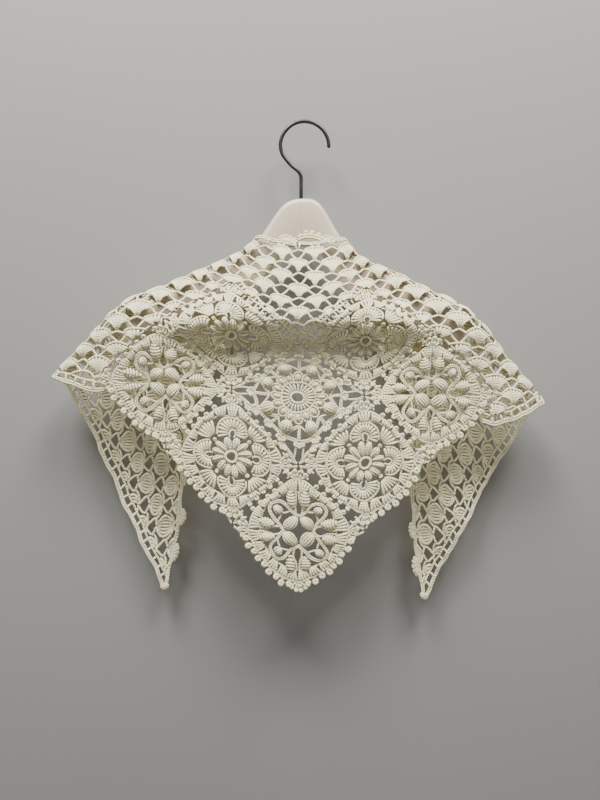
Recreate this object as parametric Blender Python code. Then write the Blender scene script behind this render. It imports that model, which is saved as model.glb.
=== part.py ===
"""Crochet lace scarf draped over a moulded hanger.

The scarf is drafted flat, in millimetres: a runs sideways from its centre line, v runs up from
the centre of the motif at its point, and w stands out of the cloth. The function drape() then
hangs it: down the front, over the shoulders of the hanger, and down behind as two long tails.
The origin is the inside of the hook's top, where the hanger hangs. +Z is up, -Y is the front.
"""
import math

import bmesh
import bpy
import numpy as np
from mathutils import Vector
from mathutils.geometry import delaunay_2d_cdt, intersect_point_line

MM = 0.001

# The scarf, flat
CELL = 69.5            # half the diagonal of a motif's square
CLOTH = 2.4            # thickness of the crochet
SEAM = 0.3             # between two pieces of the scarf
NECK_V = 4.56 * CELL   # height of the neck edge
TIP_A = 470.0          # half the length of the neck edge, to the point of a tail
MOTIF_CORNER = 62.5    # from a motif's centre to its rounded corner
MOTIF_ROUND = 1.42     # 1 is a square on its corner, 2 is a circle
SIDE_REACH = 33.0      # half the straight stretch of a joined side
SIDE_STEPS = 8
CORNER_TURN = 5.0      # degrees from the middle of a rounded corner to its ends
FREE_EDGE = 1.5        # how much further a free side reaches
SCALLOP = 2.2          # how far a picot scallop stands out of a motif's free side
LEFT_HEM = ((-203.5, 129.5), (-217.0, 128.5), (-264.0, 141.0), (-286.0, 170.0))
RIGHT_HEM = ((195.0, 110.5), (214.0, 111.0), (262.0, 133.0), (282.0, 157.0))

# The net
NET_ROW = 15.1         # half the distance between two rows of fans
NET_COLUMN = 17.4      # half the distance between two fans of a row, in front
TAIL_COLUMN = 20.3     # the same, in the tails
NOTCH = 7.0            # how far the net stays above the meeting of two squares
SAG = 24.0             # how much lower the squares hang where they meet the net, under the neck
SAG_HEIGHTS = (130.0, 278.0)  # from none of it to all of it
SAG_SIDES = (100.0, 200.0)    # where it fades out to the sides
FRONT_COLUMNS = 6      # half columns that keep the narrower spacing, each side
NET_HOLE = (4.9, 4.5)  # half width and half height of a gap between fans
SHELL_STEP = 40.6      # between two picot shells of the neck edge
SHELL = (9.0, 6.0)     # half width and height of a shell

# The scarf, hung
CENTRE_X = -6.8
POINT_Z = -423.0       # height of the lowest motif's centre
SIDE_SHRINK = 0.97     # hung width to flat width
SIDE_RAISE = 9.0       # how much higher the sides hang than the middle
TILT = 0.04            # the scarf hangs a little lower at its right
COWL = 20.0            # height that the neck edge loses to the cowl
COWL_SIDE = 175.0      # half the width of the cowl
WAVE = (1.6, 92.0)     # depth and length of the front's soft waves
TAIL_WAVE = (3.4, 86.0)

# Where the scarf folds over the hanger: the fold in the XZ plane, the depth of its centre
# line, its radius, the slope of the cloth that hangs behind it, and that cloth's depth.
FOLD_COLUMNS = ("x", "z", "centre_y", "radius", "back_x", "back_z", "back_y")
FOLD = (
    (-292, -294, -8.0, 8, 0.46, -0.84, 4),
    (-262, -264, -10.0, 9, 0.46, -0.85, 4),
    (-226, -228, -13.0, 13, 0.50, -0.84, 4),
    (-203, -206, -16.5, 18, 0.50, -0.85, 5),
    (-180, -187, -19.5, 22, 0.48, -0.87, 6),
    (-149, -173, -14.0, 19, 0.45, -0.89, 8),
    (-120, -159, -9.0, 16, 0.41, -0.91, 9),
    (-89, -145, -5.0, 13, 0.41, -0.91, 10),
    (-57, -126, 0.0, 10, 0.41, -0.91, 11),
    (-44, -107, 0.0, 10, 0.41, -0.91, 11),
    (-24, -81, 0.0, 10, 0.41, -0.91, 11),
    (-4, -74, 0.0, 10, 0.00, -1.00, 11),
    (17, -79, 0.0, 10, -0.41, -0.91, 11),
    (38, -110, 0.0, 10, -0.41, -0.91, 11),
    (50, -130, 0.0, 10, -0.41, -0.91, 11),
    (94, -155, -5.0, 13, -0.41, -0.91, 10),
    (136, -179, -14.0, 19, -0.45, -0.89, 8),
    (165, -195, -19.5, 22, -0.48, -0.87, 6),
    (184, -214, -16.5, 18, -0.50, -0.86, 5),
    (206, -239, -13.0, 13, -0.50, -0.85, 4),
    (249, -288, -10.0, 9, -0.47, -0.86, 4),
    (275, -318, -8.0, 8, -0.47, -0.86, 4),
)
# The way that the flat cloth runs into the fold, on each side
CROSSING = {-1: (-0.707, 0.707), 1: (0.766, 0.643)}

# Depth of the front by its height: in the middle, where it bulges as a cowl, and at the sides
FRONT_COLUMNS_Z = ("z", "middle_y", "side_y")
FRONT = (
    (-60, -10, -24),
    (-121, -13, -34),
    (-150, -29, -40),
    (-185, -46, -45),
    (-210, -54, -46),
    (-229, -37, -42),
    (-255, -32, -37),
    (-300, -34, -31),
    (-420, -36, -30),
    (-520, -34, -30),
)
BLEND = 70.0           # how far below the fold the front takes its own depth
MIDDLE = (95.0, 165.0)  # the cowl fades out between these distances from the centre

# The hanger
HANGER_ENDS = (-178.0, 165.0)
HANGER_REST = 0.3      # between hanger and cloth
FACET = 0.12           # share of the fold's radius that its flat facets cut off
NECK_THIN = (1.4, 60, 90)  # how much thinner it is at the neck, fading between these
HANGER_TOP = 2.1       # from the fold down to the hanger's top, in the neck
HANGER_DROP = (44.0, 26.0)  # below its widest line: in the middle, and at an end
HANGER_STATIONS = 40
HANGER_SIDES = 18
END_ROUND = 20.0

# The hook
WIRE = 3.9
HOOK_INSIDE = 23.45
STEM_X = -3.7
HOOK_TIP_ANGLE = -4.0  # degrees below the circle's centre, on the right
HOOK_LEAVES = 178.0    # degrees, where the wire leaves its circle
HOOK_NECK = ((-23.2, -32.0), (-14.4, -43.0), (-6.6, -49.4), (-3.9, -54.5))
BORE_CLEAR = 0.3
BORE_DEPTH = 16.0

# Gaps in each motif: how many, the first one's angle, distance of their middles from the
# centre, half length along the radius and half width across it
# Columns: count, first, middle, along, across
GAPS = {
    "curl": ((1, 45, 0, 4.8, 4.8), (4, 45, 17.5, 3.4, 2.6), (4, 0, 24.0, 5.4, 2.6),
             (8, 22.5, 38.5, 4.2, 2.5)),
    "daisy": ((1, 45, 0, 3.0, 3.0), (4, 0, 24.5, 5.6, 2.2), (8, 22.5, 23.5, 3.0, 2.3),
              (4, 45, 41.0, 4.4, 3.0)),
    "ring": ((1, 45, 0, 5.4, 5.4), (8, 0, 36.0, 4.2, 3.0), (8, 22.5, 44.5, 3.6, 2.7)),
}
# Rounds of relief on a motif: distance from the centre, how far it stands out, how many
RELIEF = {
    "curl": ((11.0, 1.6, 4, 45), (29.0, 1.3, 8, 22.5)),
    "daisy": ((13.0, 1.5, 8, 22.5), (33.0, 1.0, 8, 22.5)),
    "ring": ((23.5, 1.2, 8, 0), (34.0, 2.2, 8, 22.5)),
}
# Motifs, with their centres counted in cells, and the sides that meet no neighbour
# Columns: name, across, up, pattern, free sides in degrees
MOTIFS = (
    ("motif_point", 0, 0, "curl", (225, 315)),
    ("motif_low_left", -1, 1, "daisy", (225,)),
    ("motif_low_right", 1, 1, "daisy", (315,)),
    ("motif_middle", 0, 2, "ring", ()),
    ("motif_side_left", -2, 2, "curl", (225,)),
    ("motif_side_right", 2, 2, "curl", (315,)),
    ("motif_neck_left", -1, 3, "daisy", ()),
    ("motif_neck_right", 1, 3, "daisy", ()),
)
GRID = 14.0            # distance between the inner points of a panel
POINT_CLEAR = 1.5      # from them to its edges and gaps
NET_SEAM = 0.3         # from the side of a motif's square to the net
FOLD_STEPS = 23        # along the seam on the fold
FOLD_SEAM = 0.5        # between the front of the net and a tail, which twist along it
FOLD_GRID = ((44, 100, 8), (106, 182, 13), (195, 262, 22))  # from, to and step of the points on the fold
FOLD_ROUND = 9         # points round it


def through(x, xs, ys):
    """Heights of the smooth curve through the points (xs, ys), level beyond its ends."""
    xs, ys = np.asarray(xs, float), np.asarray(ys, float)
    steps = np.diff(ys) / np.diff(xs)
    slopes = np.concatenate([steps[:1], (steps[1:] + steps[:-1]) / 2, steps[-1:]])
    i = np.clip(np.searchsorted(xs, x) - 1, 0, len(xs) - 2)
    width = xs[i + 1] - xs[i]
    t = np.clip((x - xs[i]) / width, 0, 1)
    rise = ys[i + 1] - ys[i]
    bend = (slopes[i] * (1 - t) - slopes[i + 1] * t) * width + rise * (2 * t - 1)
    return ys[i] + rise * t + t * (1 - t) * bend


def ease(t):
    """0 below 0, 1 above 1, and a soft step between."""
    t = np.clip(t, 0, 1)
    return t * t * (3 - 2 * t)


def column(table, columns, name):
    return [row[columns.index(name)] for row in table]


def fold(name, x):
    """One column of the fold at the distances x from the centre."""
    xs = column(FOLD, FOLD_COLUMNS, "x")
    return through(x, xs, column(FOLD, FOLD_COLUMNS, name))


def in_plane(a, v):
    """Where a point of the flat scarf lies in the XZ plane before the fold turns it back."""
    high = ease((v - 2.2 * CELL) / (NECK_V - 2.2 * CELL))
    cowl = COWL * high * np.cos(np.clip(a / COWL_SIDE, -1, 1) * math.pi / 2) ** 2
    raised = SIDE_RAISE * ease(np.abs(a) / (2 * CELL))
    return CENTRE_X + SIDE_SHRINK * a, POINT_Z + v + raised - TILT * a - cowl


def laid_flat(x, z):
    """The point of the flat scarf that in_plane() puts at (x, z)."""
    a = (x - CENTRE_X) / SIDE_SHRINK
    v = z - POINT_Z
    for _ in range(30):
        v = v + z - in_plane(a, v)[1]
    return float(a), float(v)


def front_depth(x, z):
    zs = column(FRONT, FRONT_COLUMNS_Z, "z")[::-1]
    middle = through(z, zs, column(FRONT, FRONT_COLUMNS_Z, "middle_y")[::-1])
    side = through(z, zs, column(FRONT, FRONT_COLUMNS_Z, "side_y")[::-1])
    aside = ease((np.abs(x - CENTRE_X) - MIDDLE[0]) / (MIDDLE[1] - MIDDLE[0]))
    low = ease((-z - 230) / 90)
    wave = WAVE[0] * low * np.sin(2 * math.pi * (x + 0.35 * z) / WAVE[1])
    own = middle + (side - middle) * aside + wave
    at_fold = fold("centre_y", x) - fold("radius", x)
    return at_fold + (own - at_fold) * ease((fold("z", x) - z) / BLEND)


def fold_foot(x, z, side):
    """Where the way into the fold from (x, z) meets it, and how far beyond it (x, z) lies."""
    go_x, go_z = CROSSING[side]
    fine = np.linspace(FOLD[0][0], FOLD[-1][0], 1200)
    fine = fine[fine * side > -30]
    across = fine * go_z - fold("z", fine) * go_x
    wanted = x * go_z - z * go_x
    order = np.argsort(across)
    foot = np.interp(wanted, across[order], fine[order])
    return foot, (x - foot) * go_x + (z - fold("z", foot)) * go_z


def draped_side(a, v, side):
    """Positions of flat points on one side, in millimetres."""
    x, z = in_plane(a, v)
    foot, beyond = fold_foot(x, z, side)
    go = np.array(CROSSING[side])
    slope = (fold("z", foot + 2) - fold("z", foot - 2)) / 4
    along = np.stack([np.ones_like(slope), slope]) * side
    along = along / np.hypot(along[0], along[1])
    outward = np.stack([-along[1], along[0]]) * side
    radius = fold("radius", foot)
    into = outward[0] * go[0] + outward[1] * go[1]
    turned = np.maximum(beyond * into + radius, 0)
    angle = np.minimum(turned / radius, math.pi)
    back = np.stack([fold("back_x", foot), fold("back_z", foot)])
    back_out = np.minimum((back * outward).sum(0), -0.3)
    past = np.maximum(turned - math.pi * radius, 0) / into
    out = radius * np.sin(angle) - radius + past * back_out
    drift = np.where(beyond < 0, beyond * (along[0] * go[0] + along[1] * go[1]),
                     beyond * (back * along).sum(0))
    start_z = fold("z", foot)
    wrapped_x = foot + outward[0] * out + along[0] * drift
    wrapped_z = start_z + outward[1] * out + along[1] * drift
    wraps = turned > 0
    edge_x = np.where(wraps, foot - go[0] * radius / into, x)
    edge_z = np.where(wraps, start_z - go[1] * radius / into, z)
    before = front_depth(edge_x, edge_z)
    behind = fold("centre_y", wrapped_x) + fold("radius", wrapped_x)
    depth = before + (behind - before) * (1 - np.cos(angle)) / 2
    ripple = TAIL_WAVE[0] * np.sin(2 * math.pi * (wrapped_x * 0.9 + wrapped_z * 0.42) / TAIL_WAVE[1])
    rest = fold("back_y", foot) + ripple
    depth = depth + (rest - depth) * ease(past / 75) * (past > 0)
    return np.stack([np.where(wraps, wrapped_x, x), depth, np.where(wraps, wrapped_z, z)])


def draped(a, v):
    a, v = np.asarray(a, float), np.asarray(v, float)
    return np.where(a < 0, draped_side(a, v, -1), draped_side(a, v, 1))


def drape(points):
    """World positions in metres of an array of flat (a, v, w) points."""
    a, v, w = np.asarray(points, float).T
    reach = 0.4
    across = draped(a + reach, v) - draped(a - reach, v)
    up = draped(a, v + reach) - draped(a, v - reach)
    out = np.cross(across.T, up.T)
    out /= np.linalg.norm(out, axis=1)[:, None]
    return (draped(a, v).T + out * w[:, None]) * MM


def inside(point, outline):
    """Whether a flat point lies in a closed outline."""
    x, y = point
    crossings = 0
    for (x0, y0), (x1, y1) in zip(outline, outline[1:] + outline[:1]):
        if (y0 > y) != (y1 > y) and x < x0 + (y - y0) / (y1 - y0) * (x1 - x0):
            crossings += 1
    return crossings % 2 == 1


def clearance(point, outline):
    """Distance from a flat point to the nearest side of a closed outline."""
    nearest = math.inf
    for start, end in zip(outline, outline[1:] + outline[:1]):
        foot, share = intersect_point_line(Vector(point), Vector(start), Vector(end))
        share = min(max(share, 0), 1)
        foot = Vector(start).lerp(Vector(end), share)
        nearest = min(nearest, (Vector(point) - foot.to_2d()).length)
    return nearest


def spaced(outline, most):
    """The outline with points added so that no side is longer than most."""
    points = []
    for start, end in zip(outline, outline[1:] + outline[:1]):
        count = max(1, math.ceil(math.dist(start, end) / most))
        points += [(start[0] + (end[0] - start[0]) * i / count,
                    start[1] + (end[1] - start[1]) * i / count) for i in range(count)]
    return points


def square_grid(outline, step):
    """Flat points on a grid over the outline's box."""
    xs, ys = zip(*outline)
    across = np.arange(min(xs) + step / 2, max(xs), step)
    up = np.arange(min(ys) + step / 2, max(ys), step)
    return [(float(x), float(y)) for x in across for y in up]


def fold_grid(side):
    """Flat points in lines round the fold on one side of the scarf."""
    points = []
    go_x, go_z = CROSSING[side]
    for start, end, step in FOLD_GRID:
        for x in np.arange(start, end, step) * side:
            for j in range(FOLD_ROUND):
                beyond = float(fold("radius", x)) * (math.pi * j / (FOLD_ROUND - 1) - 1)
                points.append(laid_flat(x + go_x * beyond, float(fold("z", x)) + go_z * beyond))
    return points


def panel(name, outline, gaps, inner, material, raised=None):
    """A stretch of the scarf: a flat outline less its gaps, thickened and then hung."""
    rings = [outline] + gaps
    kept = []
    for point in inner:
        if inside(point, outline) and clearance(point, outline) > POINT_CLEAR:
            if all(math.dist(point, gap[0]) > 14 or
                   (clearance(point, gap) > POINT_CLEAR and not inside(point, gap)) for gap in gaps):
                kept.append(point)
    points, edges = [], []
    for ring in rings:
        first = len(points)
        points += ring
        edges += [(first + i, first + (i + 1) % len(ring)) for i in range(len(ring))]
    points += kept
    flat, _, faces, *_ = delaunay_2d_cdt([Vector(p) for p in points], edges, [], 1, 1e-4)
    mesh = bmesh.new()
    verts = [mesh.verts.new((p.x, p.y, -CLOTH / 2)) for p in flat]
    for face in faces:
        middle = sum((flat[i] for i in face), Vector((0, 0))) / len(face)
        near = [gap for gap in gaps if math.dist(middle, gap[0]) < 16]
        if inside(middle, outline) and not any(inside(middle, gap) for gap in near):
            mesh.faces.new([verts[i] for i in face])
    bmesh.ops.delete(mesh, geom=[v for v in mesh.verts if not v.link_faces], context="VERTS")
    bmesh.ops.recalc_face_normals(mesh, faces=mesh.faces)
    lifted = bmesh.ops.extrude_face_region(mesh, geom=mesh.faces[:], use_keep_orig=True)
    for vert in (g for g in lifted["geom"] if isinstance(g, bmesh.types.BMVert)):
        edge = raised(vert.co.x, vert.co.y) if raised else 0
        vert.co.z = CLOTH / 2 + edge
    positions = drape(np.array([v.co[:] for v in mesh.verts]))
    for vert, position in zip(mesh.verts, positions):
        vert.co = position
    bmesh.ops.recalc_face_normals(mesh, faces=mesh.faces)
    data = bpy.data.meshes.new(name)
    mesh.to_mesh(data)
    mesh.free()
    return add_object(name, data, material)


def add_object(name, data, material):
    made = bpy.data.objects.new(name, data)
    PARTS.objects.link(made)
    if material:
        data.materials.append(material)
    return made


def finish(name, colour, roughness, metallic=0.0):
    material = bpy.data.materials.new(name)
    material.use_nodes = True
    shader = material.node_tree.nodes["Principled BSDF"]
    shader.inputs["Base Color"].default_value = (*colour, 1.0)
    shader.inputs["Roughness"].default_value = roughness
    shader.inputs["Metallic"].default_value = metallic
    return material


def sagged(point):
    """A point of the flat squares, moved down as far as they sag under the neck."""
    a, v = point
    low, high = SAG_HEIGHTS
    near, far = SAG_SIDES
    share = min(max((v - low) / (high - low), 0), 1)
    return a, v - SAG * share * float(1 - ease((abs(a) - near) / (far - near)))


def side_points(centre, side, offset):
    """Points along one straight side of a motif's square, moved out by offset."""
    turn = math.radians(side)
    out = CELL / math.sqrt(2) + offset
    return [(centre[0] + out * math.cos(turn) - along * math.sin(turn),
             centre[1] + out * math.sin(turn) + along * math.cos(turn))
            for along in np.linspace(-SIDE_REACH, SIDE_REACH, SIDE_STEPS + 1).tolist()]


def free_points(centre, side):
    """Points along a motif's free side, a rounded line of picot scallops."""
    points = []
    for i in range(9):
        turn = math.radians(side - 34 + 8.5 * i)
        c, s = abs(math.cos(turn)), abs(math.sin(turn))
        rounded = MOTIF_CORNER * (c ** MOTIF_ROUND + s ** MOTIF_ROUND) ** (-1 / MOTIF_ROUND)
        reach = rounded + FREE_EDGE + SCALLOP * (-1) ** (i + 1)
        points.append((centre[0] + reach * math.cos(turn), centre[1] + reach * math.sin(turn)))
    return points


def motif_outline(centre, free_sides):
    """A motif's edge: its four sides, joined or free, and a rounded corner after each."""
    outline = []
    for side in (45, 135, 225, 315):
        free = side in free_sides
        outline += free_points(centre, side) if free else side_points(centre, side, -SEAM / 2)
        for turn in (-CORNER_TURN, 0, CORNER_TURN):
            angle = math.radians(side + 45 + turn)
            reach = MOTIF_CORNER - (1.0 if turn else 0.0) + (FREE_EDGE if free else 0)
            outline.append((centre[0] + reach * math.cos(angle), centre[1] + reach * math.sin(angle)))
    return outline


def motif_gaps(centre, pattern):
    """The gaps of one motif, each a pointed oval of six sides."""
    gaps = []
    for count, first, middle, along, across in GAPS[pattern]:
        for i in range(count):
            turn = math.radians(first + 360 * i / count)
            corners = 4 if middle == 0 else 6
            shape = [(along * math.cos(2 * math.pi * k / corners),
                      across * math.sin(2 * math.pi * k / corners)) for k in range(corners)]
            gaps.append([(centre[0] + (middle + u) * math.cos(turn) - t * math.sin(turn),
                          centre[1] + (middle + u) * math.sin(turn) + t * math.cos(turn))
                         for u, t in shape])
    return gaps


def make_motif(name, across, up, pattern, free_sides, material):
    centre = (across * CELL, up * CELL)
    outline = [sagged(p) for p in motif_outline(centre, free_sides)]
    gaps = [[sagged(p) for p in gap] for gap in motif_gaps(centre, pattern)]
    knots, heights = [], []
    for distance, height, count, first in RELIEF[pattern]:
        for i in range(count):
            turn = math.radians(first + 360 * i / count)
            knots.append(sagged((centre[0] + distance * math.cos(turn),
                                 centre[1] + distance * math.sin(turn))))
            heights.append(height)

    def raised(x, y):
        for knot, height in zip(knots, heights):
            if math.dist((x, y), knot) < 1.0:
                return height
        return 0

    step = GRID * (0.8 if "neck" in name else 1.0)
    grid = [p for p in square_grid(outline, step) if all(math.dist(p, k) > 6 for k in knots)]
    return panel(name, outline, gaps, knots + grid, material, raised)


def column_place(i):
    """Sideways place of half column i of the net."""
    near = min(abs(i), FRONT_COLUMNS)
    far = max(abs(i) - FRONT_COLUMNS, 0)
    return math.copysign(near * NET_COLUMN + far * TAIL_COLUMN, i) if i else 0.0


def net_gaps(outline, margin):
    """Gaps between the fans of the net that lie clear inside an outline."""
    half_width, half_height = NET_HOLE
    gaps = []
    for j in range(1, 14):
        for i in range(-24, 25):
            if (i + j) % 2 == 0:
                continue
            a, v = column_place(i), NECK_V - NET_ROW * j
            gap = [(a + half_width, v), (a, v + half_height), (a - half_width, v), (a, v - half_height)]
            if all(inside(p, outline) and clearance(p, outline) > margin for p in gap):
                gaps.append(gap)
    return gaps


def fold_line(side, gap):
    """The flat line where the scarf folds, from the neck edge to the outer corner."""
    gap = math.copysign(FOLD_SEAM / 2, gap)
    points = []
    first, last = (52, 262) if side < 0 else (45, 250)
    for i in range(FOLD_STEPS + 1):
        x = side * (first + (last - first) * i / FOLD_STEPS)
        a, v = laid_flat(x, float(fold("z", x)))
        go_x, go_z = CROSSING[side]
        points.append((a + gap * go_x, v + gap * go_z))
    return points


def shelled(start, end):
    """The neck edge between two places, with its picot shells."""
    direction = math.copysign(1, end - start)
    half, height = SHELL
    points = []
    count = int(abs(end - start) // SHELL_STEP)
    for i in range(count):
        middle = start + direction * SHELL_STEP * (i + 0.5)
        for offset, rise in ((-half, 0), (-0.7 * half, height), (0.7 * half, height), (half, 0)):
            points.append((middle + direction * offset, NECK_V + rise))
    return points


def beside_motifs():
    """The net's edge along the motifs that it meets, from the left corner to the right one."""
    c = CELL
    points = [(-3 * c, 2 * c + 0.3)]
    for across, up, side in ((-2, 2, 135), (-1, 3, 135), (-1, 3, 45), (1, 3, 135), (1, 3, 45), (2, 2, 45)):
        points += side_points((across * c, up * c), side, NET_SEAM)[::-1]
        if (across, side) in ((-1, 135), (1, 135)):
            points.append((across * c, 4 * c + 0.3))
        if (across, side) == (-1, 45):
            points.append((0, 3 * c + NOTCH))
    return [sagged(p) for p in points + [(3 * c, 2 * c + 0.3)]]


def make_net(material):
    c = CELL
    left, right = fold_line(-1, -SEAM / 2), fold_line(1, -SEAM / 2)
    hem_left = [LEFT_HEM[1], LEFT_HEM[0], (-3 * c - 0.3, 2 * c - 1)]
    hem_right = [(3 * c + 0.3, 2 * c - 1), RIGHT_HEM[0], RIGHT_HEM[1]]
    neck = shelled(right[0][0] - 4, left[0][0] + 4)
    outline = beside_motifs() + hem_right + right[::-1] + neck + left + hem_left
    front = spaced(outline, 15)
    grid = [p for p in square_grid(outline, 11) if abs(p[0]) < 190]
    inner = fold_grid(-1) + fold_grid(1) + grid
    panel("net_front", front, net_gaps(outline, 2.2), inner, material)
    for name, side, line in (("tail_left", -1, fold_line(-1, SEAM / 2)),
                             ("tail_right", 1, fold_line(1, SEAM / 2))):
        tip = (side * TIP_A, NECK_V)
        edge = [(line[0][0] + side * step, NECK_V) for step in (4, 8, 12, 16)]
        edge += shelled(line[0][0] + side * 8, side * (TIP_A - 30))
        hem = (LEFT_HEM if side < 0 else RIGHT_HEM)[3]
        below = (tip[0] - side * 3, tip[1] - 6)
        shape = line[::-1] + edge + [tip, below, hem]
        tail = spaced(shape, 24)
        inner = fold_grid(side) + square_grid(shape, 24)
        panel(name, tail, net_gaps(shape, 2.2), inner, material)


def hanger_ring(x):
    """One section of the hanger across its length: (centre_z, depth, height up, height down)."""
    slope = float((fold("z", x + 2) - fold("z", x - 2)) / 4)
    lean = math.hypot(1, slope)
    radius = float(fold("radius", x))
    rest = CLOTH / 2 + HANGER_REST + FACET * radius
    thin, start, end = NECK_THIN
    thick = radius - rest - thin * float(1 - ease((abs(x) - start) / (end - start)))
    ends = min(x - HANGER_ENDS[0], HANGER_ENDS[1] - x)
    share = math.sqrt(max(0.0, 1 - max(0.0, 1 - ends / END_ROUND) ** 2))
    out = abs(x) / HANGER_ENDS[1]
    drop = HANGER_DROP[0] + (HANGER_DROP[1] - HANGER_DROP[0]) * min(out, 1)
    centre_z = float(fold("z", x)) - radius * lean
    return centre_z, thick * share, thick * share * lean, drop * share


def make_hanger(material):
    """The moulded body: sections along its length, narrow at the neck and full at the ends."""
    mesh = bmesh.new()
    rings = []
    length = HANGER_ENDS[1] - HANGER_ENDS[0]
    for i in range(HANGER_STATIONS):
        share = (1 - math.cos(math.pi * (i + 0.35) / (HANGER_STATIONS - 0.3))) / 2
        share = 0.45 * share + 0.55 * (i + 0.1) / (HANGER_STATIONS - 0.8)
        x = HANGER_ENDS[0] + length * share
        centre_z, depth, up, down = hanger_ring(x)
        y = float(fold("centre_y", x))
        ring = []
        for k in range(HANGER_SIDES):
            turn = 2 * math.pi * k / HANGER_SIDES
            tall = up if math.sin(turn) > 0 else down
            ring.append(mesh.verts.new(((x) * MM, (y + depth * math.cos(turn)) * MM,
                                        (centre_z + tall * math.sin(turn)) * MM)))
        rings.append(ring)
    for one, two in zip(rings, rings[1:]):
        for k in range(HANGER_SIDES):
            n = (k + 1) % HANGER_SIDES
            mesh.faces.new((one[k], two[k], two[n], one[n]))
    mesh.faces.new(rings[0])
    mesh.faces.new(rings[-1][::-1])
    bmesh.ops.recalc_face_normals(mesh, faces=mesh.faces)
    data = bpy.data.meshes.new("hanger_body")
    mesh.to_mesh(data)
    mesh.free()
    body = add_object("hanger_body", data, material)
    top = float(fold("z", STEM_X)) - HANGER_TOP
    bpy.ops.mesh.primitive_cylinder_add(
        vertices=16, radius=(WIRE / 2 + BORE_CLEAR) * MM / math.cos(math.pi / 16),
        depth=(BORE_DEPTH + 20) * MM,
        location=(STEM_X * MM, 0, (top + 10 - BORE_DEPTH / 2) * MM))
    cutter = bpy.context.object
    cutter.name = "hook_bore"
    cutter.hide_render = True
    cutter.display_type = "WIRE"
    for owner in cutter.users_collection:
        owner.objects.unlink(cutter)
    CUTTERS.objects.link(cutter)
    cut = body.modifiers.new("bore", "BOOLEAN")
    cut.operation = "DIFFERENCE"
    cut.object = cutter
    return body


def make_hook(material):
    """The wire hook: most of a circle, a bent neck and a straight stem into the hanger."""
    radius = HOOK_INSIDE + WIRE / 2
    path = []
    count = 26
    for i in range(count):
        turn = math.radians(HOOK_TIP_ANGLE + (HOOK_LEAVES - HOOK_TIP_ANGLE) * i / (count - 1))
        path.append((radius * math.cos(turn), radius * math.sin(turn) - HOOK_INSIDE))
    top = float(fold("z", STEM_X)) - HANGER_TOP
    stem_end = top - BORE_DEPTH + 1.0 + BORE_CLEAR
    path += [*HOOK_NECK, (STEM_X, -60.0), (STEM_X, stem_end)]
    curve = bpy.data.curves.new("hanger_hook", "CURVE")
    curve.dimensions = "3D"
    curve.bevel_depth = WIRE / 2 * MM
    curve.bevel_resolution = 2
    curve.use_fill_caps = True
    spline = curve.splines.new("POLY")
    spline.points.add(len(path) - 1)
    for point, (x, z) in zip(spline.points, path):
        point.co = (x * MM, 0, z * MM, 1)
    return add_object("hanger_hook", curve, material)


def main():
    for old in list(bpy.data.objects):
        bpy.data.objects.remove(old, do_unlink=True)
    yarn = finish("cotton_yarn", (0.80, 0.76, 0.64), 0.85)
    shell = finish("warm_white_moulding", (0.72, 0.64, 0.52), 0.35)
    wire = finish("black_wire", (0.03, 0.03, 0.035), 0.3, 1.0)
    for name, across, up, pattern, free_sides in MOTIFS:
        make_motif(name, across, up, pattern, free_sides, yarn)
    make_net(yarn)
    make_hanger(shell)
    make_hook(wire)


PARTS = bpy.data.collections.new("crochet_scarf_on_hanger")
CUTTERS = bpy.data.collections.new("cutters")
bpy.context.scene.collection.children.link(PARTS)
bpy.context.scene.collection.children.link(CUTTERS)
main()
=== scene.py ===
"""Looks of the crochet lace scarf that hangs on a moulded hanger.

Every piece of the scarf is worked from strands of yarn. They are drafted flat, in millimetres: a runs
sideways from the scarf's centre line, v runs up from the centre of the motif at its point, and w stands
out of the cloth. Hang then lays them over the hanger, as the frame's own cloth is laid.
"""
import logging
import math
from collections.abc import Callable, Iterable, Sequence
from dataclasses import dataclass, field
from enum import Enum

import bpy
import numpy as np
from mathutils import Euler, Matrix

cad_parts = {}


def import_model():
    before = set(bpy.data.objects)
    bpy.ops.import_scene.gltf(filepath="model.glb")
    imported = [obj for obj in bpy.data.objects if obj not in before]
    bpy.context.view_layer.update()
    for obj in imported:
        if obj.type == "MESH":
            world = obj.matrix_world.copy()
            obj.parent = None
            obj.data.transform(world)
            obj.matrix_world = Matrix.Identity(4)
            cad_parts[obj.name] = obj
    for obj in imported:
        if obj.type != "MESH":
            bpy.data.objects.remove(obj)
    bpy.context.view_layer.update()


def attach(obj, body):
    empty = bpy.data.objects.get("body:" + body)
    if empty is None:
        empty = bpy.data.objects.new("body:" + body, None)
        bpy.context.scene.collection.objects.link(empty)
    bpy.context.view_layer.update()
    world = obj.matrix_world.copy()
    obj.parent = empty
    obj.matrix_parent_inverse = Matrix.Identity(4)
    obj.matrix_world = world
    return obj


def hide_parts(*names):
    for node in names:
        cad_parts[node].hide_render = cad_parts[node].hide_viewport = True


LOG = logging.getLogger("scarf")
MM = 0.001
TURN = 2 * math.pi
WRAPPED = np.array([0.62, 0.86, 1.0, 0.9, 1.05, 0.98, 0.7])  # thickness along a long stitch
QUARTERS = (0, 90, 180, 270)
SIDES = (45, 135, 225, 315)
TINY = 1e-9
Flat = tuple[float, float]
Triple = tuple[float, float, float]
Line = Sequence[Flat] | np.ndarray


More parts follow.
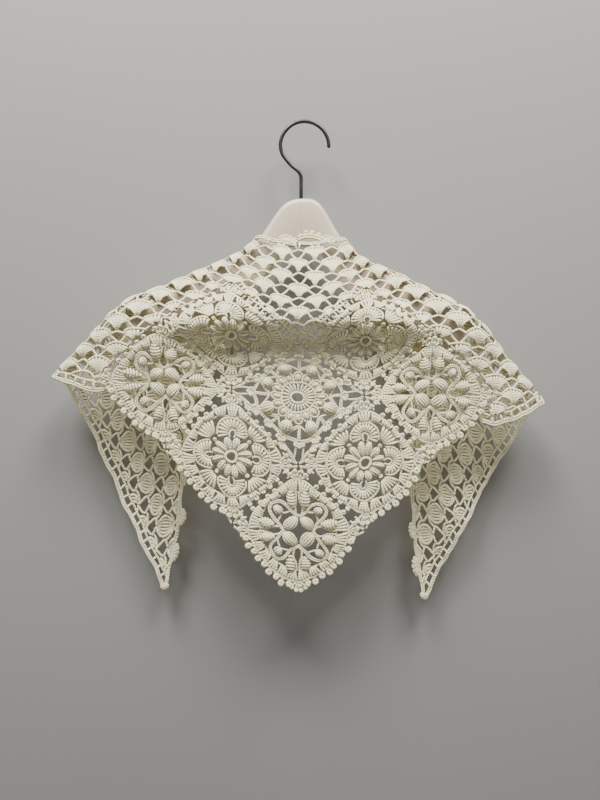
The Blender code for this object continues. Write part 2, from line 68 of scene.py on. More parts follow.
def through(x: np.ndarray, xs: Sequence[float], ys: Sequence[float]) -> np.ndarray:
    """Heights of the smooth curve through some points, level beyond its ends.

    Args:
        x: Where to read the curve.
        xs: Places of the points, rising.
        ys: Their heights.

    Returns:
        The heights at x.
    """
    xs, ys = np.asarray(xs, float), np.asarray(ys, float)
    steps = np.diff(ys) / np.diff(xs)
    slopes = np.concatenate([steps[:1], (steps[1:] + steps[:-1]) / 2, steps[-1:]])
    i = np.clip(np.searchsorted(xs, x) - 1, 0, len(xs) - 2)
    width = xs[i + 1] - xs[i]
    t = np.clip((x - xs[i]) / width, 0, 1)
    rise = ys[i + 1] - ys[i]
    bend = (slopes[i] * (1 - t) - slopes[i + 1] * t) * width + rise * (2 * t - 1)
    return ys[i] + rise * t + t * (1 - t) * bend


def ease(t: np.ndarray | float) -> np.ndarray:
    """A soft step that is 0 below 0 and 1 above 1."""
    t = np.clip(t, 0, 1)
    return t * t * (3 - 2 * t)


def polar(distance: float, degrees: float) -> Flat:
    """The point at that distance and angle from the centre."""
    turn = math.radians(degrees)
    return distance * math.cos(turn), distance * math.sin(turn)


def polars(points: Iterable[Flat], turn: float) -> list[Flat]:
    """Points given as distances and angles, turned by so many degrees."""
    return [polar(distance, turn + angle) for distance, angle in points]


def circle_of(distance: float, count: int) -> list[Flat]:
    """Even points on a circle round the centre."""
    return [polar(distance, 360 / count * k) for k in range(count)]


def oval(at: float, half: Flat, turns: Iterable[float]) -> list[Flat]:
    """Points at some angles of an oval round (at, 0) that has those half axes."""
    return [(at + half[0] * polar(1, turn)[0], half[1] * polar(1, turn)[1]) for turn in turns]


def turned(points: Iterable[Flat], degrees: float, side: int = 1) -> list[Flat]:
    """Points given along and across a way out of the centre, turned to that way.

    Args:
        points: The points.
        degrees: The way.
        side: -1 for the points mirrored in the way, 1 for the points as they are.

    Returns:
        The turned points.
    """
    c, s = polar(1, degrees)
    return [(u * c - side * t * s, u * s + side * t * c) for u, t in points]


def leftwards(ways: np.ndarray) -> np.ndarray:
    """Unit vectors a quarter turn to the left of some flat ways."""
    along = ways / (np.linalg.norm(ways, axis=-1, keepdims=True) + TINY)
    return np.stack([-along[..., 1], along[..., 0]], axis=-1)


def linked(name: str, data: bpy.types.ID, at: Triple = (0, 0, 0), degrees: Triple = (0, 0, 0)
           ) -> bpy.types.Object:
    """Puts something in the scene.

    Args:
        name: Its name.
        data: Its mesh, light or camera.
        at: Where it stands, in metres.
        degrees: How it is turned.

    Returns:
        The new object.
    """
    made = bpy.data.objects.new(name, data)
    made.location = at
    made.rotation_euler = Euler([math.radians(part) for part in degrees])
    bpy.context.scene.collection.objects.link(made)
    return made


def resampled(points: Line, step: float, closed: bool = False) -> np.ndarray:
    """A smooth line through some points, cut into even steps.

    Args:
        points: Two or more points, each of two or three numbers.
        step: Length of a step, in millimetres.
        closed: Whether the line runs back to its first point.

    Returns:
        The points of the line, as rows.
    """
    given = np.asarray(points, float)
    if closed:
        given = np.vstack([given, given[:1]])
    if len(given) > 2:
        before = np.vstack([given[-2:-1] if closed else 2 * given[:1] - given[1:2], given[:-1]])[:-1]
        after = np.vstack([given[1:], given[1:2] if closed else 2 * given[-1:] - given[-2:-1]])[1:]
        start, end = given[:-1], given[1:]
        t = np.linspace(0, 1, 9)[:-1][None, :, None]
        s, e, b, f = (part[:, None, :] for part in (start, end, before, after))
        line = 0.5 * (2 * s + (e - b) * t + (2 * b - 5 * s + 4 * e - f) * t ** 2
                      + (3 * s - b - 3 * e + f) * t ** 3)
        given = np.vstack([line.reshape(-1, given.shape[1]), given[-1:]])
    lengths = np.concatenate([[0], np.cumsum(np.linalg.norm(np.diff(given, axis=0), axis=1))])
    count = max(3, round(lengths[-1] / step) + 1)
    places = np.linspace(0, lengths[-1], count)
    line = np.stack([np.interp(places, lengths, axis) for axis in given.T], axis=1)
    return line[:-1] if closed else line


@dataclass(frozen=True)
class Hang:
    """How the flat scarf hangs. The sizes and the tables are those of the frame's own cloth.

    A pair of lengths is where a change starts and where it is done, or how long it takes. A wave is its
    height and its length.
    """

    cell: float = 69.5        # half the diagonal of a motif
    neck: float = 316.92      # height of the neck edge on the flat scarf
    centre_x: float = -6.8
    point_z: float = -423.0
    shrink: float = 0.97
    side_raise: float = 9.0
    tilt: float = 0.04
    cowl: float = 20.0        # how far the neck edge dips in its middle
    cowl_side: float = 175.0
    cowl_start: float = 2.2   # where the dip starts, in cells
    wave: Flat = (1.6, 92.0)
    wave_start: Flat = (230.0, 90.0)
    wave_slant: float = 0.35
    tail_wave: Flat = (3.4, 86.0)
    tail_slant: Flat = (0.9, 0.42)
    tail_settle: float = 75.0  # how far below the fold a tail hangs in its own depth
    tail_lean: float = 0.3    # the least that a tail falls away from the fold
    blend: float = 70.0
    middle: Flat = (95.0, 165.0)
    overlap: float = 30.0     # how far each side's table reaches past the middle
    samples: int = 1200
    probe: float = 0.4        # half the step that slopes are measured over
    neck_folds: Flat = (-52.0, 45.0)
    names: tuple[str, ...] = ("x", "z", "centre_y", "radius", "back_x", "back_z", "back_y")
    folds: tuple[tuple[float, ...], ...] = (
        (-292, -294, -8.0, 8, 0.46, -0.84, 4),
        (-262, -264, -10.0, 9, 0.46, -0.85, 4),
        (-226, -228, -13.0, 13, 0.50, -0.84, 4),
        (-203, -206, -16.5, 18, 0.50, -0.85, 5),
        (-180, -187, -19.5, 22, 0.48, -0.87, 6),
        (-149, -173, -14.0, 19, 0.45, -0.89, 8),
        (-120, -159, -9.0, 16, 0.41, -0.91, 9),
        (-89, -145, -5.0, 13, 0.41, -0.91, 10),
        (-57, -126, 0.0, 10, 0.41, -0.91, 11),
        (-44, -107, 0.0, 10, 0.41, -0.91, 11),
        (-24, -81, 0.0, 10, 0.41, -0.91, 11),
        (-4, -74, 0.0, 10, 0.00, -1.00, 11),
        (17, -79, 0.0, 10, -0.41, -0.91, 11),
        (38, -110, 0.0, 10, -0.41, -0.91, 11),
        (50, -130, 0.0, 10, -0.41, -0.91, 11),
        (94, -155, -5.0, 13, -0.41, -0.91, 10),
        (136, -179, -14.0, 19, -0.45, -0.89, 8),
        (165, -195, -19.5, 22, -0.48, -0.87, 6),
        (184, -214, -16.5, 18, -0.50, -0.86, 5),
        (206, -239, -13.0, 13, -0.50, -0.85, 4),
        (249, -288, -10.0, 9, -0.47, -0.86, 4),
        (275, -318, -8.0, 8, -0.47, -0.86, 4),
    )
    crossing: tuple[Flat, Flat] = ((-0.707, 0.707), (0.766, 0.643))
    front: tuple[Triple, ...] = (
        (-520, -34, -30),
        (-420, -36, -30),
        (-300, -34, -31),
        (-255, -32, -37),
        (-229, -37, -42),
        (-210, -54, -46),
        (-185, -46, -45),
        (-150, -29, -40),
        (-121, -13, -34),
        (-60, -10, -24),
    )

    def fold(self, name: str, x: np.ndarray | float) -> np.ndarray:
        """One column of the fold's table, read at x."""
        column = self.names.index(name)
        return through(x, [row[0] for row in self.folds], [row[column] for row in self.folds])

    def way(self, side: int) -> np.ndarray:
        """The way that the cloth runs into the fold on one side, -1 or 1."""
        return np.array(self.crossing[0 if side < 0 else 1])

    def in_plane(self, a: np.ndarray, v: np.ndarray) -> tuple[np.ndarray, np.ndarray]:
        """Where flat points lie, seen from the front, before the fold turns them back.

        Args:
            a: Their places sideways.
            v: Their heights.

        Returns:
            Their x and their z.
        """
        start = self.cowl_start * self.cell
        high = ease((v - start) / (self.neck - start))
        lost = self.cowl * high * np.cos(np.clip(a / self.cowl_side, -1, 1) * math.pi / 2) ** 2
        raised = self.side_raise * ease(np.abs(a) / (2 * self.cell))
        return self.centre_x + self.shrink * a, self.point_z + v + raised - self.tilt * a - lost

    def laid_flat(self, x: float, z: float) -> Flat:
        """Finds the flat point that in_plane() puts at one place.

        Args:
            x: The place, sideways.
            z: The place, upwards.

        Returns:
            The flat point.
        """
        a, v = (x - self.centre_x) / self.shrink, z - self.point_z
        for _ in range(30):
            v = v + z - self.in_plane(a, v)[1]
        return float(a), float(v)

    def front_depth(self, x: np.ndarray, z: np.ndarray) -> np.ndarray:
        """Depth of the cloth in front of the hanger.

        Args:
            x: Places sideways.
            z: Places upwards.

        Returns:
            Its y there.
        """
        heights = [row[0] for row in self.front]
        middle = through(z, heights, [row[1] for row in self.front])
        side = through(z, heights, [row[2] for row in self.front])
        aside = ease((np.abs(x - self.centre_x) - self.middle[0]) / (self.middle[1] - self.middle[0]))
        height, length = self.wave
        started = ease((-z - self.wave_start[0]) / self.wave_start[1])
        wave = height * started * np.sin(TURN * (x + self.wave_slant * z) / length)
        own = middle + (side - middle) * aside + wave
        at_fold = self.fold("centre_y", x) - self.fold("radius", x)
        return at_fold + (own - at_fold) * ease((self.fold("z", x) - z) / self.blend)

    def fold_foot(self, x: np.ndarray, z: np.ndarray, side: int) -> tuple[np.ndarray, np.ndarray]:
        """Where the cloth's way into the fold meets it.

        Args:
            x: Places sideways.
            z: Places upwards.
            side: -1 or 1, for the fold's left or right half.

        Returns:
            Where on the fold the way from each place meets it, and how far beyond it the place lies.
        """
        go_x, go_z = self.way(side)
        fine = np.linspace(self.folds[0][0], self.folds[-1][0], self.samples)
        fine = fine[fine * side > -self.overlap]
        across = fine * go_z - self.fold("z", fine) * go_x
        order = np.argsort(across)
        foot = np.interp(x * go_z - z * go_x, across[order], fine[order])
        return foot, (x - foot) * go_x + (z - self.fold("z", foot)) * go_z

    def surface_side(self, a: np.ndarray, v: np.ndarray, side: int) -> np.ndarray:
        """Hangs flat points over one half of the fold.

        Args:
            a: Their places sideways.
            v: Their heights.
            side: -1 or 1, for the fold's left or right half.

        Returns:
            Their hung positions, in millimetres, as rows.
        """
        x, z = self.in_plane(a, v)
        foot, beyond = self.fold_foot(x, z, side)
        go = self.way(side)
        slope = (self.fold("z", foot + 2) - self.fold("z", foot - 2)) / 4
        along = np.stack([np.ones_like(slope), slope]) * side
        along = along / np.hypot(along[0], along[1])
        outward = np.stack([-along[1], along[0]]) * side
        radius = self.fold("radius", foot)
        into = outward[0] * go[0] + outward[1] * go[1]
        wound = np.maximum(beyond * into + radius, 0)
        angle = np.minimum(wound / radius, math.pi)
        back = np.stack([self.fold("back_x", foot), self.fold("back_z", foot)])
        back_out = np.minimum((back * outward).sum(0), -self.tail_lean)
        past = np.maximum(wound - math.pi * radius, 0) / into
        out = radius * np.sin(angle) - radius + past * back_out
        drift = np.where(beyond < 0, beyond * (along[0] * go[0] + along[1] * go[1]),
                         beyond * (back * along).sum(0))
        start_z = self.fold("z", foot)
        wrapped_x = foot + outward[0] * out + along[0] * drift
        wrapped_z = start_z + outward[1] * out + along[1] * drift
        wraps = wound > 0
        edge_x = np.where(wraps, foot - go[0] * radius / into, x)
        edge_z = np.where(wraps, start_z - go[1] * radius / into, z)
        before = self.front_depth(edge_x, edge_z)
        behind = self.fold("centre_y", wrapped_x) + self.fold("radius", wrapped_x)
        depth = before + (behind - before) * (1 - np.cos(angle)) / 2
        height, length = self.tail_wave
        slanted = wrapped_x * self.tail_slant[0] + wrapped_z * self.tail_slant[1]
        ripple = height * np.sin(TURN * slanted / length)
        rest = self.fold("back_y", foot) + ripple
        depth = depth + (rest - depth) * ease(past / self.tail_settle) * (past > 0)
        return np.stack([np.where(wraps, wrapped_x, x), depth, np.where(wraps, wrapped_z, z)], axis=1)

    def surface(self, a: np.ndarray, v: np.ndarray) -> np.ndarray:
        """Hung positions of flat points, in millimetres, as rows."""
        return np.where((a < 0)[:, None], self.surface_side(a, v, -1), self.surface_side(a, v, 1))

    def place(self, flat: np.ndarray) -> tuple[np.ndarray, np.ndarray]:
        """Hung positions and the ways out of the cloth.

        Args:
            flat: Rows of (a, v, w), in millimetres.

        Returns:
            Positions in metres, and unit vectors out of the cloth's face.
        """
        a, v, w = flat.T
        across = self.surface(a + self.probe, v) - self.surface(a - self.probe, v)
        up = self.surface(a, v + self.probe) - self.surface(a, v - self.probe)
        out = np.cross(across, up)
        out /= np.linalg.norm(out, axis=1)[:, None]
        return (self.surface(a, v) + out * w[:, None]) * MM, out

    def beyond_fold(self, a: float, v: float) -> float:
        """How far behind the hanger's shoulder a flat point lies."""
        x, z = self.in_plane(np.array([a]), np.array([v]))
        return float(self.fold_foot(x, z, -1 if a < 0 else 1)[1][0])

    def fold_start(self, side: int) -> float:
        """How far out on the flat neck edge the scarf folds over the hanger."""
        x = self.neck_folds[0 if side < 0 else 1]
        return self.laid_flat(x, float(self.fold("z", x)))[0]


class Nodes:
    """A small hand for wiring a node material."""

    def __init__(self, name: str) -> None:
        """Starts a material with a Principled shader.

        Args:
            name: The material's name.
        """
        self.material = bpy.data.materials.new(name)
        self.material.use_nodes = True
        self.tree = self.material.node_tree
        self.shader = self.tree.nodes["Principled BSDF"]
        self.place = self.add("TexCoord", {}).outputs["Object"]

    def add(self, kind: str, inputs: dict[str | int, object], **settings: object) -> bpy.types.Node:
        """Adds a node.

        Args:
            kind: Blender's name for the node, less its ShaderNode.
            inputs: What each input takes, a number, a colour or another node's output.
            **settings: The node's own settings.

        Returns:
            The node.
        """
        node = self.tree.nodes.new("ShaderNode" + kind)
        for name, value in settings.items():
            setattr(node, name, value)
        for name, value in inputs.items():
            if isinstance(value, bpy.types.NodeSocket):
                self.tree.links.new(value, node.inputs[name])
            else:
                node.inputs[name].default_value = value
        return node

    def calc(self, operation: str, *values: object) -> bpy.types.NodeSocket:
        """The output of a Math node with these inputs."""
        return self.add("Math", dict(enumerate(values)), operation=operation).outputs[0]

    def mix(self, *parts: tuple[object, float]) -> bpy.types.NodeSocket:
        """Adds some values up.

        Args:
            *parts: Each value and its weight.

        Returns:
            The sum of the values times their weights.
        """
        weighed = [self.calc("MULTIPLY", value, weight) for value, weight in parts]
        total = weighed[0]
        for part in weighed[1:]:
            total = self.calc("ADD", total, part)
        return total

    def ridges(self, count: bpy.types.NodeSocket) -> bpy.types.NodeSocket:
        """Even ridges from 0 to 1, with a groove wherever the count is a whole number."""
        return self.calc("ABSOLUTE", self.calc("SINE", self.calc("MULTIPLY", count, math.pi)))

    def noise(self, scale: float, detail: float, roughness: float = 0.5) -> bpy.types.NodeSocket:
        """Noise from 0 to 1 over the piece."""
        inputs = {"Vector": self.place, "Scale": scale, "Detail": detail, "Roughness": roughness}
        return self.add("TexNoise", inputs).outputs[0]

    def spread(self, value: bpy.types.NodeSocket, low: float, high: float) -> bpy.types.NodeSocket:
        """A value from 0 to 1, spread between low and high."""
        return self.add("MapRange", {0: value, 3: low, 4: high}).outputs[0]

    def bumps(self, height: bpy.types.NodeSocket, strength: float, distance: float
              ) -> bpy.types.NodeSocket:
        """The normal of a surface with these heights, whose full height is distance in metres."""
        inputs = {"Height": height, "Strength": strength, "Distance": distance}
        return self.add("Bump", inputs).outputs[0]

    def colours(self, share: bpy.types.NodeSocket, *stops: tuple[float, tuple[float, ...]]
                ) -> bpy.types.NodeSocket:
        """A ramp of colours.

        Args:
            share: Where to read the ramp, from 0 to 1.
            *stops: Places and colours.

        Returns:
            The colour.
        """
        ramp = self.add("ValToRGB", {0: share})
        for i, (place, colour) in enumerate(stops):
            stop = ramp.color_ramp.elements[i] if i < 2 else ramp.color_ramp.elements.new(place)
            stop.position = place
            stop.color = (*colour, 1.0)
        return ramp.outputs[0]

    def shade(self, **sockets: object) -> None:
        """Sets or links sockets of the shader, their spaces written as underscores."""
        for name, value in sockets.items():
            socket = self.shader.inputs[name.replace("_", " ")]
            if isinstance(value, bpy.types.NodeSocket):
                self.tree.links.new(value, socket)
            else:
                socket.default_value = value


@dataclass(frozen=True)
class YarnFinish:
    """Matt two-ply cotton: the plies show as slanting lines; painted shade darkens their grooves, strand
    sides, stitch gaps and crevices.
    """

    light: Triple = (0.83, 0.77, 0.50)
    # The dark end of the ramp is reached mostly through painted shade in grooves, strand sides and
    # crevices.
    dark: Triple = (0.21, 0.17, 0.07)
    ramp: Flat = (0.16, 0.70)
    roughness: float = 0.86
    ply_pitch: float = 0.62    # turns of the ply in a millimetre of yarn
    stitch_pitch: float = 0.4  # wraps of a stitch in a millimetre of yarn
    bump: float = 0.7
    bump_height: float = 0.0003
    sheen: float = 0.25
    sheen_roughness: float = 0.6
    # These two set the ambient occlusion that darkens the colour as painted shade in crevices.
    painted_shade_reach: float = 0.03      # how far round it other yarn darkens its colour with painted shade, in metres
    painted_shade_floor: float = 0.36    # what is left of its tone where that painted shade is deepest

    def material(self) -> bpy.types.Material:
        """Builds the material, which reads the strands' own lengths from their map.

        Returns:
            The material.
        """
        nodes = Nodes("cotton_yarn")
        strand = nodes.add("SeparateXYZ", {0: nodes.add("UVMap", {}, uv_map="strand").outputs[0]})
        around, along = strand.outputs[0], strand.outputs[1]
        # The ply and stitch grooves darken the colour as painted shade, and they also shape the bump.
        ply = nodes.ridges(nodes.mix((around, 2.0), (along, self.ply_pitch)))
        # Painted shade: each strand is darker on its sides, where it meets its neighbours.
        painted_side_shade = nodes.ridges(nodes.mix((around, 2.0)))
        stitch = nodes.ridges(nodes.mix((around, 1.0), (along, self.stitch_pitch)))
        fibre = nodes.noise(2600.0, 3.0, 0.6)
        patch = nodes.noise(55.0, 2.0)
        # Random tone from the noises, plus painted shade from the grooves and the strand sides.
        tone_and_painted_shade = nodes.mix((ply, 0.15), (fibre, 0.2), (patch, 0.2), (painted_side_shade, 0.4), (stitch, 0.22))
        # Ambient occlusion darkens the colour: painted shade in crevices and recesses between strands.
        painted_shade_ao = nodes.add("AmbientOcclusion", {"Distance": self.painted_shade_reach}, samples=5).outputs["AO"]
        tone_and_painted_shade = nodes.calc("MULTIPLY", tone_and_painted_shade, nodes.spread(painted_shade_ao, self.painted_shade_floor, 1.0))
        colour = nodes.colours(tone_and_painted_shade, (self.ramp[0], self.dark), (self.ramp[1], self.light))
        height = nodes.mix((ply, 1.0), (fibre, 0.35), (stitch, 1.6))
        nodes.shade(Base_Color=colour, Normal=nodes.bumps(height, self.bump, self.bump_height))
        nodes.shade(Roughness=self.roughness, Sheen_Weight=self.sheen,
                    Sheen_Roughness=self.sheen_roughness)
        return nodes.material


@dataclass(frozen=True)
class MouldingFinish:
    """Warm white moulding, satin, with a faint parting line and fine handling marks."""

    colour: Triple = (0.60, 0.505, 0.395)
    worn: Triple = (0.50, 0.415, 0.32)
    line_x: float = -0.0037
    line_half: float = 0.0005
    line_tone: float = 1.2
    roughness: Flat = (0.30, 0.46)

    def material(self) -> bpy.types.Material:
        """Builds the material.

        Returns:
            The material.
        """
        nodes = Nodes("warm_white_moulding")
        cloud = nodes.noise(24.0, 4.0, 0.55)
        grain = nodes.noise(900.0, 2.0)
        across = nodes.add("SeparateXYZ", {0: nodes.place}).outputs[0]
        off = nodes.calc("ABSOLUTE", nodes.calc("SUBTRACT", across, self.line_x))
        line = nodes.calc("SUBTRACT", 1.0, nodes.calc("DIVIDE", off, self.line_half))
        line = nodes.add("Clamp", {0: line}).outputs[0]
        colour = nodes.colours(nodes.mix((cloud, 1.0), (line, -self.line_tone)),
                               (0.0, self.worn), (0.5, self.colour))
        height = nodes.mix((grain, 0.3), (line, -1.0))
        nodes.shade(Base_Color=colour, Roughness=nodes.spread(cloud, *self.roughness),
                    Normal=nodes.bumps(height, 0.35, 0.0002))
        return nodes.material


@dataclass(frozen=True)
class WireFinish:
    """Black painted wire with light rubbing."""

    colour: Triple = (0.010, 0.010, 0.012)
    rubbed: Triple = (0.03, 0.03, 0.034)
    roughness: Flat = (0.26, 0.44)
    coat: float = 0.2
    coat_roughness: float = 0.25

    def material(self) -> bpy.types.Material:
        """Builds the material.

        Returns:
            The material.
        """
        nodes = Nodes("black_wire")
        cloud = nodes.noise(130.0, 5.0, 0.7)
        colour = nodes.colours(cloud, (0.55, self.colour), (0.8, self.rubbed))
        nodes.shade(Base_Color=colour, Roughness=nodes.spread(cloud, *self.roughness),
                    Normal=nodes.bumps(nodes.noise(1500.0, 2.0), 0.15, 0.0001))
        nodes.shade(Coat_Weight=self.coat, Coat_Roughness=self.coat_roughness)
        return nodes.material


@dataclass(frozen=True)
class PlainFinish:
    """Paint for the wall and the floor, with a hardly seen unevenness."""

    name: str
    colour: Triple
    one_sided: bool = False
    darker: float = 0.95
    roughness: float = 0.9

    def material(self) -> bpy.types.Material:
        """Builds the material, clear from behind where it is one-sided.

        Returns:
            The material.
        """
        nodes = Nodes(self.name)
        if self.one_sided:
            behind = nodes.add("NewGeometry", {}).outputs["Backfacing"]
            nodes.shade(Alpha=nodes.calc("SUBTRACT", 1.0, behind))
        darker = tuple(self.darker * part for part in self.colour)
        colour = nodes.colours(nodes.noise(1.5, 3.0), (0.3, darker), (0.7, self.colour))
        nodes.shade(Base_Color=colour, Roughness=self.roughness)
        return nodes.material


@dataclass(frozen=True)
class FanStitch:
    """The long stitches of a fan."""

    radius: float
    gather: float       # how far up their way they part, as a share of it
    lift: float         # how far their middles stand out of the cloth
    bow: float = 0.9    # how far the outer ones bend outwards
    flare: float = 0.5  # how much thicker their heads are than their feet, as a share of radius


@dataclass(frozen=True)
class Petal:
    """A plump petal, made of long stitches that are gathered at both ends."""

    width: float
    plies: int         # how many stitches lie side by side
    depth: float       # how far its middle stands out
    skew: float = 1.0  # above 1, it is widest nearer its end
    near: float = 0.0  # where it starts on its way out of a motif's centre
    far: float = 0.0   # where it ends


@dataclass
class Strand:
    """A length of yarn along flat points, thick as its radii say."""

    points: np.ndarray
    radii: np.ndarray
    closed: bool


@dataclass
class Work:
    """Strands of yarn that become one joined mesh. Places are flat, from the work's own origin.

    A chain is thicker at each stitch by the share swell of its radius, rises there by the share heave,
    and its ends are thinner by the share taper.
    """

    hang: Hang
    origin: Flat = (0.0, 0.0)
    sides: int = 6
    flatness: float = 0.72
    sags: bool = False
    swell: float = 0.17
    heave: float = 0.25
    taper: float = 0.55
    keep: Callable[[np.ndarray], np.ndarray] | None = None
    strands: list[Strand] = field(default_factory=list)

    def lay(self, points: Sequence[Triple] | np.ndarray, radii: np.ndarray | float,
            closed: bool = False) -> None:
        """Adds a strand, or the stretches of it that lie where keep allows.

        Args:
            points: Rows of (a, v, w) from the work's origin.
            radii: The strand's radius, or one for each point.
            closed: Whether it runs back to its start.
        """
        points = np.asarray(points, float) + (*self.origin, 0.0)
        radii = np.broadcast_to(np.asarray(radii, float), len(points)).copy()
        if self.keep is None:
            self.strands.append(Strand(points, radii, closed))
            return
        kept = self.keep(points)
        if kept.all():
            self.strands.append(Strand(points, radii, closed))
            return
        cuts = np.flatnonzero(np.diff(np.concatenate([[0], kept.astype(int), [0]])))
        for start, end in zip(cuts[::2], cuts[1::2]):
            if end - start >= 4:
                self.strands.append(Strand(points[start:end], radii[start:end], False))

    def cord(self, line: Line, radius: float = 0.85, w: float = 0.0, closed: bool = False,
             step: float = 0.95, stitch: float = 2.9) -> None:
        """Adds a chain of stitches along a line, as one strand that swells at each stitch.

        Args:
            line: Where it runs.
            radius: Its radius.
            w: How far it stands out of the cloth.
            closed: Whether it runs back to its start.
            step: Length of a step along it.
            stitch: Length of a stitch.
        """
        flat = resampled(line, step, closed)
        turns = TURN * np.arange(len(flat)) * step / stitch
        radii = radius * (1 + self.swell * np.cos(turns))
        if not closed:
            radii[[0, -1]] *= self.taper
        self.lay(np.column_stack([flat, w + self.heave * radius * np.sin(turns)]), radii, closed)

    def beside(self, line: Line, shift: float, closed: bool = False) -> np.ndarray:
        """Moves a line sideways.

        Args:
            line: The line.
            shift: How far it is moved to its left.
            closed: Whether it runs back to its start.

        Returns:
            The moved line, as rows.
        """
        flat = resampled(line, 1.5, closed)
        ahead = np.roll(flat, -1, 0) if closed else np.vstack([flat[1:], 2 * flat[-1:] - flat[-2:-1]])
        behind = np.roll(flat, 1, 0) if closed else np.vstack([2 * flat[:1] - flat[1:2], flat[:-1]])
        return flat + shift * leftwards(ahead - behind)

    def double(self, line: Line, radius: float = 0.8, w: float = 0.0, closed: bool = False) -> None:
        """Adds a doubled chain, its two rows of stitches side by side."""
        for shift in (-0.85 * radius, 0.85 * radius):
            self.cord(self.beside(line, shift, closed), radius, w, closed)

    def twist(self, line: Line, radius: float = 0.85, w: float = 0.8, pitch: float = 5.2) -> None:
        """Adds a bar of two smooth plies that turn about each other.

        Args:
            line: Where it runs.
            radius: Its radius, and a little more than each ply's.
            w: How far it stands out of the cloth.
            pitch: Length of a whole turn.
        """
        step = 0.8
        flat = resampled(line, step)
        turns = TURN * np.arange(len(flat)) * step / pitch
        middle = resampled(self.beside(line, 0.0), step)[:len(flat)]
        left = leftwards(np.gradient(middle, axis=0))
        for phase in (0.0, math.pi):
            place = flat + left * (0.6 * radius * np.cos(turns + phase))[:, None]
            self.lay(np.column_stack([place, w + 0.6 * radius * np.sin(turns + phase)]), 0.8 * radius)

    def stitch(self, start: Flat, end: Flat, t: np.ndarray, aside: np.ndarray, rise: np.ndarray,
               radii: np.ndarray) -> None:
        """Adds a strand that bends away from the straight way between its ends.

        Args:
            start: One end.
            end: The other end.
            t: Places on the way, from 0 to 1.
            aside: How far to the left of it the strand lies there.
            rise: How far out of the cloth.
            radii: How thick it is.
        """
        way = np.subtract(end, start)
        flat = start + way * t[:, None] + leftwards(way) * aside[:, None]
        self.lay(np.column_stack([flat, rise]), radii)

    def post(self, start: Flat, end: Flat, radius: float = 0.85, lift: float = 0.6, bow: float = 0.0,
             flare: float = 0.0) -> None:
        """Adds one long stitch with a wrap round its middle.

        Args:
            start: Its foot.
            end: Its head.
            radius: Its radius where it is thickest.
            lift: How far its middle stands out of the cloth.
            bow: How far its middle bends to the left.
            flare: How much thicker its head is than its foot, as a share of radius.
        """
        t = np.linspace(0, 1, len(WRAPPED))
        hump = np.sin(math.pi * t)
        self.stitch(start, end, t, bow * hump, lift * hump, radius * WRAPPED * (1 + flare * (t - 0.5)))

    def fan(self, foot: Flat, heads: Line, kind: FanStitch) -> None:
        """Adds long stitches that spread from one foot.

        Args:
            foot: Where they meet.
            heads: Their heads, from one side to the other.
            kind: How they are worked.
        """
        for head, aside in zip(heads, np.linspace(-1, 1, len(heads))):
            start = np.add(foot, kind.gather * np.subtract(head, foot))
            self.post(start, head, kind.radius, kind.lift, kind.bow * aside, kind.flare)

    def puff(self, start: Flat, end: Flat, kind: Petal) -> None:
        """Adds a plump petal.

        Args:
            start: One end.
            end: The other end.
            kind: How it is worked.
        """
        t = np.linspace(0, 1, 9)
        hump = np.sin(math.pi * np.clip(t, 0.02, 0.98) ** kind.skew) ** 0.55
        radius = 0.56 * kind.width / kind.plies
        for aside in np.linspace(-1, 1, kind.plies):
            rise = kind.depth * hump * math.sqrt(1 - 0.8 * aside * aside)
            shift = aside * (kind.width / 2 - radius) * hump
            self.stitch(start, end, t, shift, rise, radius * (0.42 + 0.58 * hump))

    def petal(self, kind: Petal, turn: float) -> None:
        """Adds a plump petal that points out of the work's origin."""
        self.puff(polar(kind.near, turn), polar(kind.far, turn), kind)

    def leaf(self, start: Flat, end: Flat, width: float, ribs: int, depth: float) -> None:
        """Adds a plump leaf whose stitches run across it.

        Args:
            start: One end.
            end: The other end.
            width: Its width in the middle, where it is widest.
            ribs: How many stitches lie side by side.
            depth: How far its middle stands out.
        """
        way = np.subtract(end, start)
        length = float(np.linalg.norm(way))
        t = np.linspace(-1, 1, 8)
        radius = 0.56 * length / ribs
        for k in range(ribs):
            share = (k + 0.5) / ribs
            wide = math.sin(math.pi * share)
            half = 0.5 * width * wide ** 0.5 - 0.3 * radius
            bent = way / length * (0.12 * width * t * t)[:, None]
            flat = start + way * share + leftwards(way) * (half * t)[:, None] + bent
            rise = depth * wide ** 0.6 * np.sqrt(1 - 0.92 * t * t)
            self.lay(np.column_stack([flat, rise]), radius * np.sqrt(1.05 - 0.72 * t * t))

    def ring(self, distance: float, radius: float, w: float, count: int) -> None:
        """Adds a closed smooth ring round the work's origin."""
        self.lay([(a, v, w) for a, v in circle_of(distance, count)], radius, True)

    def picot(self, foot: Flat, way: float, size: float = 3.6) -> None:
        """Adds a knot of a picot.

        Args:
            foot: Where it grows from.
            way: The way it points, in degrees.
            size: Half its width over the yarn.
        """
        radius = 0.47 * size
        half = (size - radius, 0.9 * (size - radius))
        turns = [40 * k for k in range(9)]
        loop = turned(oval(0.72 * size, half, turns), way)
        rise = [0.5 + 0.45 * polar(1, turn)[0] for turn in turns]
        self.lay(np.column_stack([np.add(foot, loop), rise]), radius, True)

    def picots(self, foot: Flat, way: float, size: float, count: int = 3, spread: float = 52.0) -> None:
        """Adds a cluster of picots that spread from one foot.

        Args:
            foot: Where they grow from.
            way: The way that the middle one points, in degrees.
            size: Half the width of each over the yarn.
            count: How many they are.
            spread: Degrees from one to the next.
        """
        for i in range(count):
            turn = way + spread * (i - (count - 1) / 2)
            self.picot(np.add(foot, polar(0.35 * size, turn)), turn, size)

